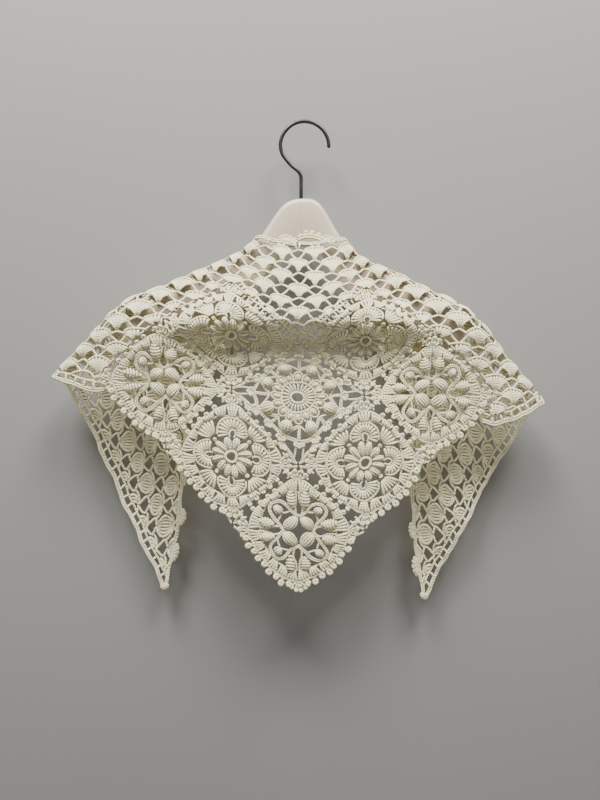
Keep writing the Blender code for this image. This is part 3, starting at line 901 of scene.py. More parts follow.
    def built(self, name: str, material: bpy.types.Material) -> bpy.types.Object:
        """Hangs the strands and joins them in one mesh.

        Args:
            name: The piece's name.
            material: Its finish.

        Returns:
            The piece.
        """
        flat = np.concatenate([s.points for s in self.strands])
        if self.sags:
            flat[:, :2] = sagged(flat[:, :2])
        flat = worked_by_hand(flat)
        radii = np.concatenate([s.radii for s in self.strands]) * MM
        counts = np.array([len(s.points) for s in self.strands])
        closed = np.array([s.closed for s in self.strands])
        last = np.cumsum(counts) - 1
        first = last - counts + 1
        number = np.arange(len(flat))
        ahead, behind = number + 1, number - 1
        ahead[last] = np.where(closed, first, last)
        behind[first] = np.where(closed, last, first)
        centres, out = self.hang.place(flat)
        along = centres[ahead] - centres[behind]
        along /= np.linalg.norm(along, axis=1)[:, None] + 1e-12
        side = np.cross(along, out)
        side /= np.linalg.norm(side, axis=1)[:, None] + 1e-12
        up = self.flatness * np.cross(side, along)
        turn = TURN * np.arange(self.sides) / self.sides
        round_it = side[:, None] * np.cos(turn)[None, :, None] + up[:, None] * np.sin(turn)[None, :, None]
        verts = centres[:, None] + radii[:, None, None] * round_it
        steps = np.linalg.norm(np.diff(centres, axis=0, prepend=centres[:1]), axis=1) / MM
        steps[first] = 0
        run = np.cumsum(steps)
        run -= np.repeat(run[first], counts)
        joined = ahead != number
        i, j, k = number[joined], ahead[joined], np.arange(self.sides)
        n = (k + 1) % self.sides
        quads = np.stack([i[:, None] * self.sides + k, j[:, None] * self.sides + k,
                          j[:, None] * self.sides + n, i[:, None] * self.sides + n], axis=2).reshape(-1, 4)
        around = np.broadcast_to(k / self.sides, (len(i), self.sides))
        next_around = around + 1 / self.sides
        here = np.broadcast_to(run[i][:, None], around.shape)
        there = here + np.where(steps[j] > 0, steps[j], 1.0)[:, None]
        maps = np.stack([around, here, around, there, next_around, there, next_around, here],
                        axis=2).reshape(-1, 2)
        ends = ~closed
        caps = np.concatenate([first[ends][:, None] * self.sides + k,
                               last[ends][:, None] * self.sides + k[::-1]])
        cap_maps = np.zeros((caps.size, 2))
        mesh = bpy.data.meshes.new(name)
        mesh.from_pydata(verts.reshape(-1, 3).tolist(), [], quads.tolist() + caps.tolist())
        mesh.shade_smooth()
        layer = mesh.uv_layers.new(name="strand")
        layer.data.foreach_set("uv", np.concatenate([maps, cap_maps]).astype(np.float32).ravel())
        mesh.materials.append(material)
        return linked(name, mesh)


def sagged(points: np.ndarray, drop: float = 24.0, heights: Flat = (130.0, 278.0),
           sides: Flat = (100.0, 200.0)) -> np.ndarray:
    """Moves flat points of the motifs down as far as they sag under the neck.

    Args:
        points: Flat places.
        drop: How far the highest of them sag.
        heights: Where the sag starts, and where it is full.
        sides: How far out it is still full, and where it is over.

    Returns:
        The lowered places.
    """
    low, high = heights
    near, far = sides
    share = np.clip((points[:, 1] - low) / (high - low), 0, 1)
    share = share * (1 - ease((np.abs(points[:, 0]) - near) / (far - near)))
    return np.stack([points[:, 0], points[:, 1] - drop * share], axis=1)


def worked_by_hand(flat: np.ndarray, coarse: float = 0.9, fine: float = 0.45) -> np.ndarray:
    """Moves flat points a little, as hand work is, all the stitches of a place together.

    Args:
        flat: Rows of (a, v, w).
        coarse: How far they move in long waves, sideways and upwards.
        fine: How far they move in short waves, and out of the cloth.

    Returns:
        The moved points.
    """
    a, v, w = flat.T
    shift_a = coarse * np.sin(0.101 * a + 0.073 * v + 1.0) + fine * np.sin(0.31 * v - 0.12 * a)
    shift_v = coarse * np.sin(0.109 * v - 0.067 * a + 2.0) + fine * np.sin(0.27 * a + 0.16 * v)
    rise = fine * np.sin(0.23 * a + 0.7) * np.sin(0.21 * v)
    return np.column_stack([a + shift_a, v + shift_v, w + rise])


def area_of(outline: Line) -> float:
    """Area inside a closed flat outline, in square metres."""
    x, y = np.asarray(outline, float).T
    return abs(float(np.sum(x * np.roll(y, -1) - np.roll(x, -1) * y))) / 2 * MM * MM


def surface_of(made: bpy.types.Object) -> float:
    """Adds up the faces of a piece.

    Args:
        made: The piece.

    Returns:
        Its surface, in square metres.
    """
    sizes = np.empty(len(made.data.polygons))
    made.data.polygons.foreach_get("area", sizes)
    return float(sizes.sum())


def inside(points: np.ndarray, outline: Line) -> np.ndarray:
    """Finds which points lie in a closed flat outline.

    Args:
        points: The points, as rows.
        outline: The outline.

    Returns:
        Whether each one does.
    """
    x, y = points[:, 0][:, None], points[:, 1][:, None]
    start = np.asarray(outline, float)
    end = np.roll(start, -1, 0)
    spans = (start[:, 1] > y) != (end[:, 1] > y)
    rise = np.where(start[:, 1] == end[:, 1], 1e-9, end[:, 1] - start[:, 1])
    crossing = start[:, 0] + (y - start[:, 1]) / rise * (end[:, 0] - start[:, 0])
    return (spans & (x < crossing)).sum(1) % 2 == 1


def nearness(points: np.ndarray, line: np.ndarray) -> np.ndarray:
    """Distance from each row of points to the nearest point of a flat line."""
    return np.linalg.norm(points[:, None, :2] - line[None], axis=2).min(1)


@dataclass
class SheetPiece:
    """What every piece of the scarf does once it is built."""

    piece: str
    node: str
    hang: Hang
    finish: bpy.types.Material
    work: Work = field(init=False)

    def hand_in(self, outline: Line, held: str) -> bpy.types.Object:
        """Builds the piece, puts it under the root body and hides the part that it replaces.

        Args:
            outline: Its flat cut.
            held: How it is held; not used.

        Returns:
            The piece.
        """
        made = self.work.built(self.piece, self.finish)
        area = area_of(outline)
        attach(made, "root")
        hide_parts(self.node)
        share = surface_of(made) / (2 * area)
        return made


class Pattern(Enum):
    """The three patterns of the motifs."""

    CURL = "four-petal flower with curls"
    DAISY = "daisy round a ring"
    RING = "bobble ring"


@dataclass(frozen=True)
class Scallops:
    """The picots along one side of a motif."""

    step: float   # degrees from one to the next
    half: int     # how many stand on each side of the middle one
    inset: float  # how far inside the edge they grow
    size: float


FREE_SIDE = Scallops(8.5, 4, 6.3, 3.9)
JOINED_SIDE = Scallops(11.5, 2, 5.2, 3.1)

# How far inside the corner, and how far across it, the stitches of its fan end.
CORNER_HEADS = ((6.4, -6.6), (4.4, -3.6), (3.6, 0.0), (4.4, 3.6), (6.4, 6.6))
# How far the picots at a corner are turned from it, and how far inside it they grow.
CORNER_PICOTS = ((-33, 7.2), (-11, 4.2), (11, 4.2), (33, 7.2))
CORNER_FAN = FanStitch(1.25, 0.2, 0.8)
CORNER_BAR = ((9.0, 10.5), (1.0, 4.6))
# Where the four stitches of a fan in the outer round stand, as shares of its width.
ROUND_FAN = (-0.39, -0.13, 0.13, 0.39)
# Yarns, each with how far it stands out of the cloth.
FINE = (0.98, 0.6)
THIN = (1.05, 0.4)
# Along and across a way out of the centre.
CURL_STEM = ((15.5, 0.0), (19.5, 3.6), (25.5, 4.2), (31.5, 2.2), (37.0, 1.6), (41.0, 2.4))
LEAF_ENDS = ((24.6, 6.6), (41.2, 8.6))
STAR_SIDE = ((44.0, 16.0), (50.5, 14.5))
# Distances and angles.
CURL_LOOP = ((15.6, 0), (22.2, 21), (29.5, 26.5), (36.0, 34), (38.3, 45), (36.0, 56), (29.5, 63.5),
             (22.2, 69), (15.6, 90))
DROP = ((18.6, -10.5), (24.5, -10.4), (28.2, -6.0), (29.2, 0.0), (28.2, 6.0), (24.5, 10.4), (18.6, 10.5))
CROSS_HEADS = ((40.2, 31.0), (40.2, 36.6), (40.2, 42.2), (40.2, 47.8), (40.2, 53.4), (40.2, 59.0))
CROSS_FAN = FanStitch(1.35, 0.22, 1.4)
FAT_PETAL = Petal(12.8, 5, 3.4)
FAT_PETAL_AT = (12.1, 8.6)  # how far out its middle lies, and half its length
LEAF = (11.2, 6, 3.4)       # its width, ribs and depth
CURL_KNOT = (14.2, 2.0)     # how far out it lies, and its size
CURL_TIE = (26.6, 23.0, 21)  # how far out it starts and ends, and how far aside, in degrees
DAISY_KNOT = (21.6, 2.4)
BALL = Petal(9.0, 4, 3.4, near=26.2, far=35.2)
DAISY_PETAL = Petal(7.3, 3, 2.4, 1.4, 6.4, 20.6)
DROP_HEART = Petal(6.4, 3, 2.2, near=19.2, far=27.2)
BOBBLE = Petal(12.6, 5, 4.6, near=28.8, far=41.4)


@dataclass
class Motif(SheetPiece):
    """One crocheted flower in a square that stands on its corner."""

    across: int = 0
    up: int = 0
    pattern: Pattern = Pattern.CURL
    free: tuple[int, ...] = ()
    flatness: float = 0.72
    corner: float = 62.5
    roundness: float = 1.42
    free_edge: float = 1.5
    seam: float = 0.4
    scallop: float = 1.1
    bar_end: Flat = (1.2, 1.3)  # how far short of the corner, and beside it, a bar to a neighbour ends
    cluster: float = 0.21       # how far apart the picots at a corner grow, for each degree between them
    corner_picot: float = 3.1
    legs: Flat = (-2.2, 2.2)    # how far beside a picot, in degrees, its two legs stand
    leg_yarn: float = 1.15
    fan_foot: Flat = (-0.06, 0.55)  # height of a fan's feet in the outer round, and how they gather
    # Of each yarn, its radius and how far it stands out of the cloth.
    bar_yarn: Flat = (0.95, 0.4)
    inner_yarn: Flat = (1.1, -0.6)
    outer_yarn: Flat = (1.3, 0.3)
    round_yarn: Flat = (1.42, 1.2)
    round_flare: float = 0.4

    def reach(self, degrees: float) -> float:
        """Distance from the centre to the motif's edge at an angle.

        Args:
            degrees: The angle.

        Returns:
            The distance.
        """
        c, s = (abs(part) for part in polar(1, degrees))
        rounded = self.corner * (c ** self.roundness + s ** self.roundness) ** (-1 / self.roundness)
        side = 90 * math.floor((degrees % 360) / 90) + 45
        if side in self.free:
            return rounded + self.free_edge
        straight = self.hang.cell / math.sqrt(2) / math.cos(math.radians(degrees % 360 - side))
        return min(rounded, straight - self.seam)

    def at(self, inner: float, share: float, degrees: float) -> Flat:
        """The point between a circle, where share is 0, and the edge, where it is 1."""
        return polar(inner + (self.reach(degrees) - inner) * share, degrees)

    def round_at(self, inner: float, share: float, count: int = 96) -> list[Flat]:
        """A closed round of points between a circle and the edge."""
        return [self.at(inner, share, 360 * i / count) for i in range(count)]

    def neighbour(self) -> Flat:
        """Where a bar to the next piece ends, along and across the way to the corner."""
        return self.hang.cell - self.bar_end[0], self.bar_end[1]

    def edge(self, inner: float, share: float) -> None:
        """Adds the picots along the sides.

        Args:
            inner: Radius of the circle that the outer rounds start from.
            share: Height of the last round, as a share of the way to the edge.
        """
        for side in SIDES:
            free = side in self.free
            row = FREE_SIDE if free else JOINED_SIDE
            for i in range(-row.half, row.half + 1):
                turn = side + row.step * i
                stands = self.scallop * (-1) ** (i + 1) if free else 0.0
                foot = polar(self.reach(turn) + stands - row.inset, turn)
                for aside in self.legs:
                    self.work.post(self.at(inner, share, turn + aside), foot, self.leg_yarn)
                self.work.picot(foot, turn, row.size)

    def corners(self, inner: float, share: float) -> None:
        """Adds a fan and a cluster of picots at each corner, and the bars to the next piece.

        Args:
            inner: Radius of the circle that the outer rounds start from.
            share: Height of the last round, as a share of the way to the edge.
        """
        for turn in QUARTERS:
            reach = self.reach(turn)
            heads = turned([(reach - inset, across) for inset, across in CORNER_HEADS], turn)
            self.work.fan(self.at(inner, share, turn), heads, CORNER_FAN)
            for spread, inset in CORNER_PICOTS:
                foot = turned([(reach - inset, self.cluster * spread)], turn)[0]
                self.work.picot(foot, turn + spread, self.corner_picot)
            if not {(turn - 45) % 360, (turn + 45) % 360} <= set(self.free):
                for s in (-1, 1):
                    bar = [(reach - inset, across) for inset, across in CORNER_BAR]
                    self.work.twist(turned([*bar, self.neighbour()], turn, s), *self.bar_yarn)

    def border(self, inner: float, count: int, share: float) -> None:
        """Adds the outer rounds, from the circle at inner to the edge.

        Args:
            inner: Radius of the circle that the rounds start from.
            count: How many fans of four stitches the round has.
            share: Height of the round's top, as a share of the way to the edge.
        """
        self.work.cord(self.round_at(inner, 0.0), *self.inner_yarn, True)
        low, gather = self.fan_foot
        wide = 360 / count
        for i in range(count):
            turn = wide * (i + 0.5)
            for step in ROUND_FAN:
                foot = self.at(inner, low, turn + gather * wide * step)
                head = self.at(inner, share, turn + wide * step)
                self.work.post(foot, head, *self.round_yarn, flare=self.round_flare)
        self.work.cord(self.round_at(inner, share), *self.outer_yarn, True)
        self.edge(inner, share)
        self.corners(inner, share)

    def curl(self) -> None:
        """Works the flower of four fat petals, with balls in curls between its leaves."""
        for turn in QUARTERS:
            middle, along = polar(FAT_PETAL_AT[0], turn + 45), polar(FAT_PETAL_AT[1], turn + 135)
            self.work.puff(np.subtract(middle, along), np.add(middle, along), FAT_PETAL)
            self.work.picot(polar(CURL_KNOT[0], turn), turn, CURL_KNOT[1])
            for s in (-1, 1):
                self.work.leaf(*turned(LEAF_ENDS, turn, s), *LEAF)
                self.work.cord(turned(CURL_STEM, turn, s), *THIN)
                tie = polar(CURL_TIE[1], turn + 45 - CURL_TIE[2] * s)
                self.work.post(polar(CURL_TIE[0], turn + 45), tie, THIN[0])
            self.work.double(polars(CURL_LOOP, turn), *FINE)
            self.work.petal(BALL, turn + 45)
        self.border(40.2, 24, 0.56)

    def daisy(self) -> None:
        """Works the flower of twelve petals round a ring, with ribbed shells round it."""
        self.work.ring(5.5, 1.5, 1.8, 26)
        for k in range(12):
            self.work.petal(DAISY_PETAL, 30 * k + 15)
        ribs = range(-104, 105, 16)
        for turn in QUARTERS:
            self.work.cord(turned(oval(24.0, (4.6, 3.2), range(-150, 151, 25)), turn), 1.05, 0.5)
            feet, heads = oval(24.6, (5.0, 3.9), ribs), oval(24.6, (14.6, 14.2), ribs)
            for foot, head in zip(turned(feet, turn), turned(heads, turn)):
                self.work.post(foot, head, 1.3, 1.5, 0.0, 0.5)
            self.work.cord(turned(oval(24.6, (15.6, 15.2), range(-100, 101, 20)), turn), 1.15, 0.4)
            self.work.fan(polar(24.5, turn + 45), polars(CROSS_HEADS, turn), CROSS_FAN)
            self.work.picot(polar(DAISY_KNOT[0], turn + 45), turn + 45, DAISY_KNOT[1])
        self.border(41.2, 22, 0.52)

    def bobbles(self) -> None:
        """Works the ring of spokes with drops, eight bobbles and a star of doubled chains."""
        self.work.cord(circle_of(7.0, 24), 1.25, 0.8, True)
        for foot, head in zip(circle_of(7.6, 24), circle_of(17.4, 24)):
            self.work.post(foot, head, 1.08, 0.9)
        self.work.cord(circle_of(18.0, 72), 1.25, 0.4, True)
        turns = [22.5 * k for k in range(16)]
        for turn in turns:
            self.work.petal(DROP_HEART, turn)
            self.work.cord(polars(DROP, turn), 0.95, 0.8)
        clusters = [polar(min(47.0, self.reach(turn) - 7.4), turn) for turn in turns]
        for cluster, turn in zip(clusters, turns):
            self.work.picots(cluster, turn, 3.3)
        for k, turn in enumerate(turns[1::2]):
            self.work.petal(BOBBLE, turn)
            node = polar(31.0, turn + 22.5)
            for step in (1, 2):
                self.work.double([node, clusters[(2 * k + step) % 16]], 0.98, 0.5)
            self.work.cord([node, clusters[(2 * k + 3) % 16]], 1.1, 0.5)
            self.work.post(polar(40.6, turn), clusters[2 * k + 1], 1.3)
        for one, two in zip(clusters, clusters[1:] + clusters[:1]):
            self.work.double([one, two], 1.02, 0.3)
        self.star()

    def star(self) -> None:
        """Adds the points of the bobble ring's star, and the bars to the next pieces."""
        for turn in QUARTERS:
            reach = self.reach(turn)
            for s in (-1, 1):
                self.work.twist(turned([(45.0, 3.0), (reach, 4.2), self.neighbour()], turn, s), 0.95, 0.4)
                side = turned([*STAR_SIDE, (reach - 3.0, 7.5), (reach + 1.5, 4.0)], turn, s)
                self.work.double(side, 0.98, 0.2)
                self.work.picots(side[1], turn + 35 * s, 3.0)

    def build(self) -> bpy.types.Object:
        """Works the motif, puts it under the root body and hides the part that it replaces.

        Returns:
            The piece.
        """
        centre = (self.across * self.hang.cell, self.up * self.hang.cell)
        self.work = Work(self.hang, centre, flatness=self.flatness, sags=True)
        ways = {Pattern.CURL: self.curl, Pattern.DAISY: self.daisy, Pattern.RING: self.bobbles}
        ways[self.pattern]()
        cut = np.add([self.at(0.0, 1.0, 3.0 * i) for i in range(120)], centre)
        return self.hand_in(sagged(cut), "hung")


@dataclass(frozen=True)
class NetPlan:
    """Where the fans of the net stand, and the flat cuts of its front and its two tails."""

    hang: Hang
    row: float = 15.1
    column: float = 17.4
    tail_column: float = 20.3
    near_columns: int = 6
    notch: float = 7.0
    tip: float = 470.0
    shell_step: float = 40.6
    last_step: float = 34.0
    fold_room: Flat = (4.0, 8.0)  # before and beyond the fold, where no shell stands
    tip_room: float = 30.0
    tip_cut: Flat = (3.0, 6.0)
    hem_end: Flat = (3.0, 5.0)
    left_hem: tuple[Flat, ...] = ((-203.5, 129.5), (-217.0, 128.5), (-264.0, 141.0), (-286.0, 170.0))
    right_hem: tuple[Flat, ...] = ((195.0, 110.5), (214.0, 111.0), (262.0, 133.0), (282.0, 157.0))

    def place(self, i: int) -> float:
        """Sideways place of half column i."""
        near = min(abs(i), self.near_columns)
        return math.copysign(near * self.column + (abs(i) - near) * self.tail_column, i) if i else 0.0

    def beside_motifs(self) -> list[Flat]:
        """The net's edge along the motifs, from the left corner to the right one.

        Returns:
            Its points.
        """
        corners = np.array([(-3, 2), (-2, 3), (-1, 4), (0, 3), (1, 4), (2, 3), (3, 2)]) * self.hang.cell
        corners[3, 1] += self.notch
        line = [start + (end - start) * share for start, end in zip(corners, corners[1:])
                for share in np.linspace(0, 1, 9)[:-1]]
        return [tuple(point) for point in sagged(np.array([*line, corners[-1]]))]

    def whole(self) -> list[Flat]:
        """The flat cut of the whole net.

        Returns:
            Its points.
        """
        neck = self.hang.neck
        out, low = self.tip - self.tip_cut[0], neck - self.tip_cut[1]
        return [*self.beside_motifs(), *self.right_hem, (out, low), (self.tip, neck),
                (-self.tip, neck), (-out, low), *self.left_hem[::-1]]

    def half(self, side: int) -> list[Flat]:
        """The flat cut of the net on one side of the scarf's centre line.

        Args:
            side: -1 or 1, for left or right.

        Returns:
            Its points.
        """
        whole, count = self.whole(), len(self.beside_motifs())
        middle = count // 2
        neck = (0.0, self.hang.neck)
        if side > 0:
            return [p for p in whole[middle:] if p[0] >= -0.01] + [neck]
        return whole[:middle + 1] + [neck] + [p for p in whole[count:] if p[0] < 0]

    def hem_line(self, side: int) -> list[Flat]:
        """The hem on one side, from the motifs to the tip."""
        hem = self.left_hem if side < 0 else self.right_hem
        return [*hem, (side * (self.tip - self.hem_end[0]), self.hang.neck - self.hem_end[1])]

    def shells(self) -> list[float]:
        """Sideways places of the picot shells along the neck edge, and one more near each tip.

        Returns:
            The places.
        """
        left, right = self.hang.fold_start(-1), self.hang.fold_start(1)
        before, beyond = self.fold_room
        tip = self.tip - self.tip_room
        places = []
        for start, end in ((right - before, left + before), (left - beyond, -tip), (right + beyond, tip)):
            way = math.copysign(self.shell_step, end - start)
            count = int(abs(end - start) // self.shell_step)
            places += [start + way * (i + 0.5) for i in range(count)]
        return places + [min(places) - self.last_step, max(places) + self.last_step]


@dataclass
class Net(SheetPiece):
    """The net on one side of the scarf's centre line, from the motifs over the shoulder to the tip."""

    side: int = 1
    tail: str = "tail_right"
    rows: int = 15
    columns: int = 25
    posts: int = 10
    plan: NetPlan = NetPlan(Hang())
    hem_band: float = 7.6
    foot: float = 8.5
    head: float = 9.3
    shoulder: float = 3.4
    diamond: Flat = (7.2, 6.8)
    join_reach: float = 68.0
    arch_at: float = 11.0
    # Across and up from the arch's middle on the neck edge, and for the picots the way they point.
    arch: tuple[Flat, ...] = ((-17.0, -3.0), (-9.5, 4.6), (0.0, 7.8), (9.5, 4.6), (17.0, -3.0))
    arch_picots: tuple[Triple, ...] = ((-9.0, 5.6, 125), (-3.0, 8.4, 100), (3.0, 8.4, 80), (9.0, 5.6, 55))
    shell_turns: tuple[int, ...] = (150, 120, 90, 60, 30)
    shell_half: Flat = (6.0, 3.4)
    shell_fan: FanStitch = FanStitch(1.35, 0.1, 0.8)
    net_fan: FanStitch = FanStitch(1.4, 0.10, 1.5, 2.2, 0.9)
    plump_from: float = 8.0   # how far behind the shoulder the fans turn plump
    plump_width: float = 0.86
    fan_width: float = 0.96
    fan_round: float = 1.7
    rim: Flat = (0.9, 1.1)    # how far the heads stay under the rim, and how far it rises over them
    tip_turns: tuple[int, ...] = (-75, -30, 15, 60)
    hem_off: float = 0.6      # how near the hem's band the fans may come

    def mine(self, a: np.ndarray | float) -> np.ndarray | bool:
        """Whether places lie on this side of the centre line."""
        return (a >= 0) == (self.side > 0)

    def fans(self) -> None:
        """Adds the fans and the diamonds of chain between them."""
        half, tall = self.diamond
        for j in range(self.rows):
            for i in range(-self.columns, self.columns + 1):
                a, v = self.plan.place(i), self.hang.neck - self.plan.row * j
                if not self.mine(a):
                    continue
                if (i + j) % 2 == 0:
                    left, right = a - self.plan.place(i - 1), self.plan.place(i + 1) - a
                    self.fan_at((a, v), left - half, right - half)
                    continue
                for s in (-1, 1):
                    chain = [(a, v + tall), (a + s * half, v + self.shoulder), (a + s * half * 0.9, v),
                             (a, v - tall)]
                    self.work.cord(chain, 1.3)

    def fan_at(self, at: Flat, left: float, right: float) -> None:
        """Adds one fan, plump where it hangs behind.

        Args:
            at: Its middle.
            left: How far it reaches to the left.
            right: How far it reaches to the right.
        """
        a, v = at
        heads = []
        for share in np.linspace(-1, 1, self.posts):
            wide = (left if share < 0 else right) * self.fan_width
            drop = (self.head - self.shoulder) * abs(share) ** self.fan_round
            heads.append((a + wide * math.sin(share * math.pi / 2), v + self.head - drop - self.rim[0]))
        foot = (a, v - self.foot)
        if self.hang.beyond_fold(a, v) > self.plump_from:
            kind = Petal((left + right) * self.plump_width, 7, 1.9, 1.12)
            self.work.puff(foot, (a, v + self.head - 0.6), kind)
        else:
            self.work.fan(foot, heads, self.net_fan)
        rim = [(x, y + self.rim[1]) for x, y in heads[1:-1]]
        self.work.cord([(a - left, v + self.shoulder), *rim, (a + right, v + self.shoulder)], 1.3, 0.5)

    def edges(self) -> None:
        """Adds the chains along the edges, with all that stands on the neck edge."""
        self.work.keep = lambda points: self.mine(points[:, 0])
        neck = self.hang.neck
        span = resampled([(-self.plan.tip + 2, neck - 1.0), (self.plan.tip - 2, neck - 1.0)], 1.0)
        self.work.double(span, 1.2, 0.3)
        hem = self.plan.hem_line(self.side)
        self.work.double(hem, 1.25, 0.3)
        self.ladder(hem)
        for a in self.plan.shells():
            if self.mine(a):
                self.shell(a)
        for turn in self.tip_turns:
            foot = (self.side * (self.plan.tip - 3.5), neck - 2.5)
            self.work.picot(foot, 90 - self.side * (90 + turn), 3.4)
        self.joining_row()
        self.work.double([(self.arch_at + a, neck + rise) for a, rise in self.arch], 1.5, 0.8)
        for a, rise, way in self.arch_picots:
            self.work.picot((self.arch_at + a, neck + rise), way, 3.1)

    def joining_row(self) -> None:
        """Adds the chain along the motifs, and under the neck the bars that join it to both of them."""
        edge = self.plan.beside_motifs()
        line, above, below = (self.work.beside(edge, shift) for shift in (1.3, 7.0, -5.5))
        self.work.cord(line, 1.15, 0.1)
        for i in range(2, len(line) - 2, 3):
            if abs(line[i][0]) < self.join_reach:
                self.work.post(line[i], above[i], 1.15, 0.4)
                self.work.post(below[i], line[i], 1.0, 0.4)

    def ladder(self, line: Line) -> None:
        """Adds a second cord inside a hem, and the rungs to it.

        Args:
            line: The hem.
        """
        inner = self.work.beside(line, self.side * self.hem_band)
        self.work.cord(inner, 1.15, 0.2)
        for point in resampled(line, 10.8)[1:-1]:
            self.work.post(point, inner[np.argmin(np.linalg.norm(inner - point, axis=1))], 1.4)

    def shell(self, a: float) -> None:
        """Adds a fan with five picots that stands on the neck edge.

        Args:
            a: Its middle, sideways.
        """
        neck = self.hang.neck
        heads = np.add(oval(a, self.shell_half, self.shell_turns), (0.0, neck + 0.4))
        self.work.fan((a, neck - 2.0), heads, self.shell_fan)
        for (x, y), turn in zip(heads, self.shell_turns):
            self.work.picot((x, y - 0.6), turn, 2.5)

    def build(self) -> bpy.types.Object:
        """Works the net's half, puts it under the root body, and hides the part and the tail that it
        replaces.

        Returns:
            The piece.
        """
        whole = self.plan.whole()
        self.work = Work(self.hang)
        hem = resampled(self.plan.hem_line(self.side), 2.0)
        clear = self.hem_band - self.hem_off
        self.work.keep = lambda points: inside(points, whole) & (nearness(points, hem) > clear)
        self.fans()
        self.edges()
        made = self.hand_in(self.plan.half(self.side), "draped")
        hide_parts(self.tail)
        return made

@dataclass
class Hanger:
    """The moulded body and the wire hook of the hanger."""

    hang: Hang
    moulding: bpy.types.Material
    wire_finish: bpy.types.Material
    ends: Flat = (-178.0, 165.0)
    cloth: float = 2.4
    rest: float = 0.3
    facet: float = 0.12
    neck_thin: Triple = (1.4, 60.0, 90.0)
    drops: Flat = (44.0, 26.0)
    end_round: float = 20.0
    stations: int = 110
    evenness: float = 0.55
    around: int = 40
    wire: float = 3.9
    wire_around: int = 20
    wire_step: float = 1.2
    tip_length: float = 1.9
    inside_radius: float = 23.45
    stem_x: float = -3.7
    stem_top: float = -60.0
    stem_depth: float = 16.8
    neck: tuple[Flat, ...] = ((-23.2, -32.0), (-14.4, -43.0), (-6.6, -49.4), (-3.9, -54.5))

    def ring(self, x: float) -> list[Triple]:
        """One section of the body.

        Args:
            x: Where it stands, in millimetres.

        Returns:
            Its points, in metres.
        """
        slope = float((self.hang.fold("z", x + 2) - self.hang.fold("z", x - 2)) / 4)
        lean = math.hypot(1, slope)
        radius = float(self.hang.fold("radius", x))
        thin, start, end = self.neck_thin
        thick = radius - self.cloth / 2 - self.rest - self.facet * radius
        thick -= thin * float(1 - ease((abs(x) - start) / (end - start)))
        near = min(x - self.ends[0], self.ends[1] - x)
        share = math.sqrt(max(0.0, 1 - max(0.0, 1 - near / self.end_round) ** 2))
        drop = self.drops[0] + (self.drops[1] - self.drops[0]) * min(abs(x) / self.ends[1], 1)
        centre_y = float(self.hang.fold("centre_y", x))
        centre_z = float(self.hang.fold("z", x)) - radius * lean
        points = []
        for out, up in circle_of(share, self.around):
            tall = thick * lean if up > 0 else drop
            points.append((x * MM, (centre_y + thick * out) * MM, (centre_z + tall * up) * MM))
        return points

    def lofted(self, name: str, node: str, material: bpy.types.Material,
               rings: Sequence[Sequence[Triple]]) -> bpy.types.Object:
        """Lays a closed skin over some rings, puts it under the root body and hides the part that it
        replaces.

        Args:
            name: The piece's name.
            node: The node that it replaces.
            material: Its finish.
            rings: Its sections, each with the same number of points.

        Returns:
            The piece.
        """
        count = len(rings[0])
        verts = [point for ring in rings for point in ring]
        faces = []
        for i in range(0, len(verts) - count, count):
            for k in range(count):
                n = (k + 1) % count
                faces.append((i + k, i + n, i + count + n, i + count + k))
        faces += [tuple(range(count))[::-1], tuple(range(len(verts) - count, len(verts)))]
        mesh = bpy.data.meshes.new(name)
        mesh.from_pydata(verts, [], faces)
        mesh.polygons.foreach_set("use_smooth", [True] * len(faces))
        mesh.materials.append(material)
        made = linked(name, mesh)
        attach(made, "root")
        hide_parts(node)
        LOG.info("%s: %d faces", name, len(faces))
        return made

    def build_body(self) -> bpy.types.Object:
        """Builds the moulded body.

        Returns:
            The piece.
        """
        rings = []
        for i in range(self.stations + 1):
            even = i / self.stations
            share = self.evenness * even + (1 - self.evenness) * (1 - math.cos(math.pi * even)) / 2
            length = self.ends[1] - self.ends[0]
            rings.append(self.ring(self.ends[0] + length * min(max(share, 0.0004), 0.9996)))
        return self.lofted("moulded_body", "hanger_body", self.moulding, rings)

    def build_hook(self) -> bpy.types.Object:
        """Builds the wire hook with its rounded tip.

        Returns:
            The piece.
        """
        distance = self.inside_radius + self.wire / 2
        path = [(x, z - self.inside_radius) for x, z in (polar(distance, t) for t in range(-4, 179, 7))]
        stem = float(self.hang.fold("z", self.stem_x)) - self.stem_depth
        path += [*self.neck, (self.stem_x, self.stem_top), (self.stem_x, stem)]
        line = resampled(path, self.wire_step)
        rings = []
        for i, ((x, z), (left_x, left_z)) in enumerate(zip(line, leftwards(np.gradient(line, axis=0)))):
            near = min(1.0, (i + 0.15) * self.wire_step / self.tip_length)
            radius = self.wire / 2 * math.sqrt(1 - (1 - near) ** 2)
            rings.append([((x + left_x * aside) * MM, back * MM, (z + left_z * aside) * MM)
                          for aside, back in circle_of(radius, self.wire_around)])
        return self.lofted("wire_hook", "hanger_hook", self.wire_finish, rings)


@dataclass(frozen=True)
class SoftLight:
    """A soft square light, turned by so many degrees, of so many metres and watts."""

    name: str
    at: Triple
    turn: Triple
    size: float
    power: float
    colour: Triple = (1.0, 0.985, 0.955)

    def build(self) -> None:
        """Puts the light in the scene."""
        data = bpy.data.lights.new(self.name, "AREA")
        data.shape = "SQUARE"
        data.size = self.size
        data.energy = self.power
        data.color = self.colour
        linked(self.name, data, self.at, self.turn)


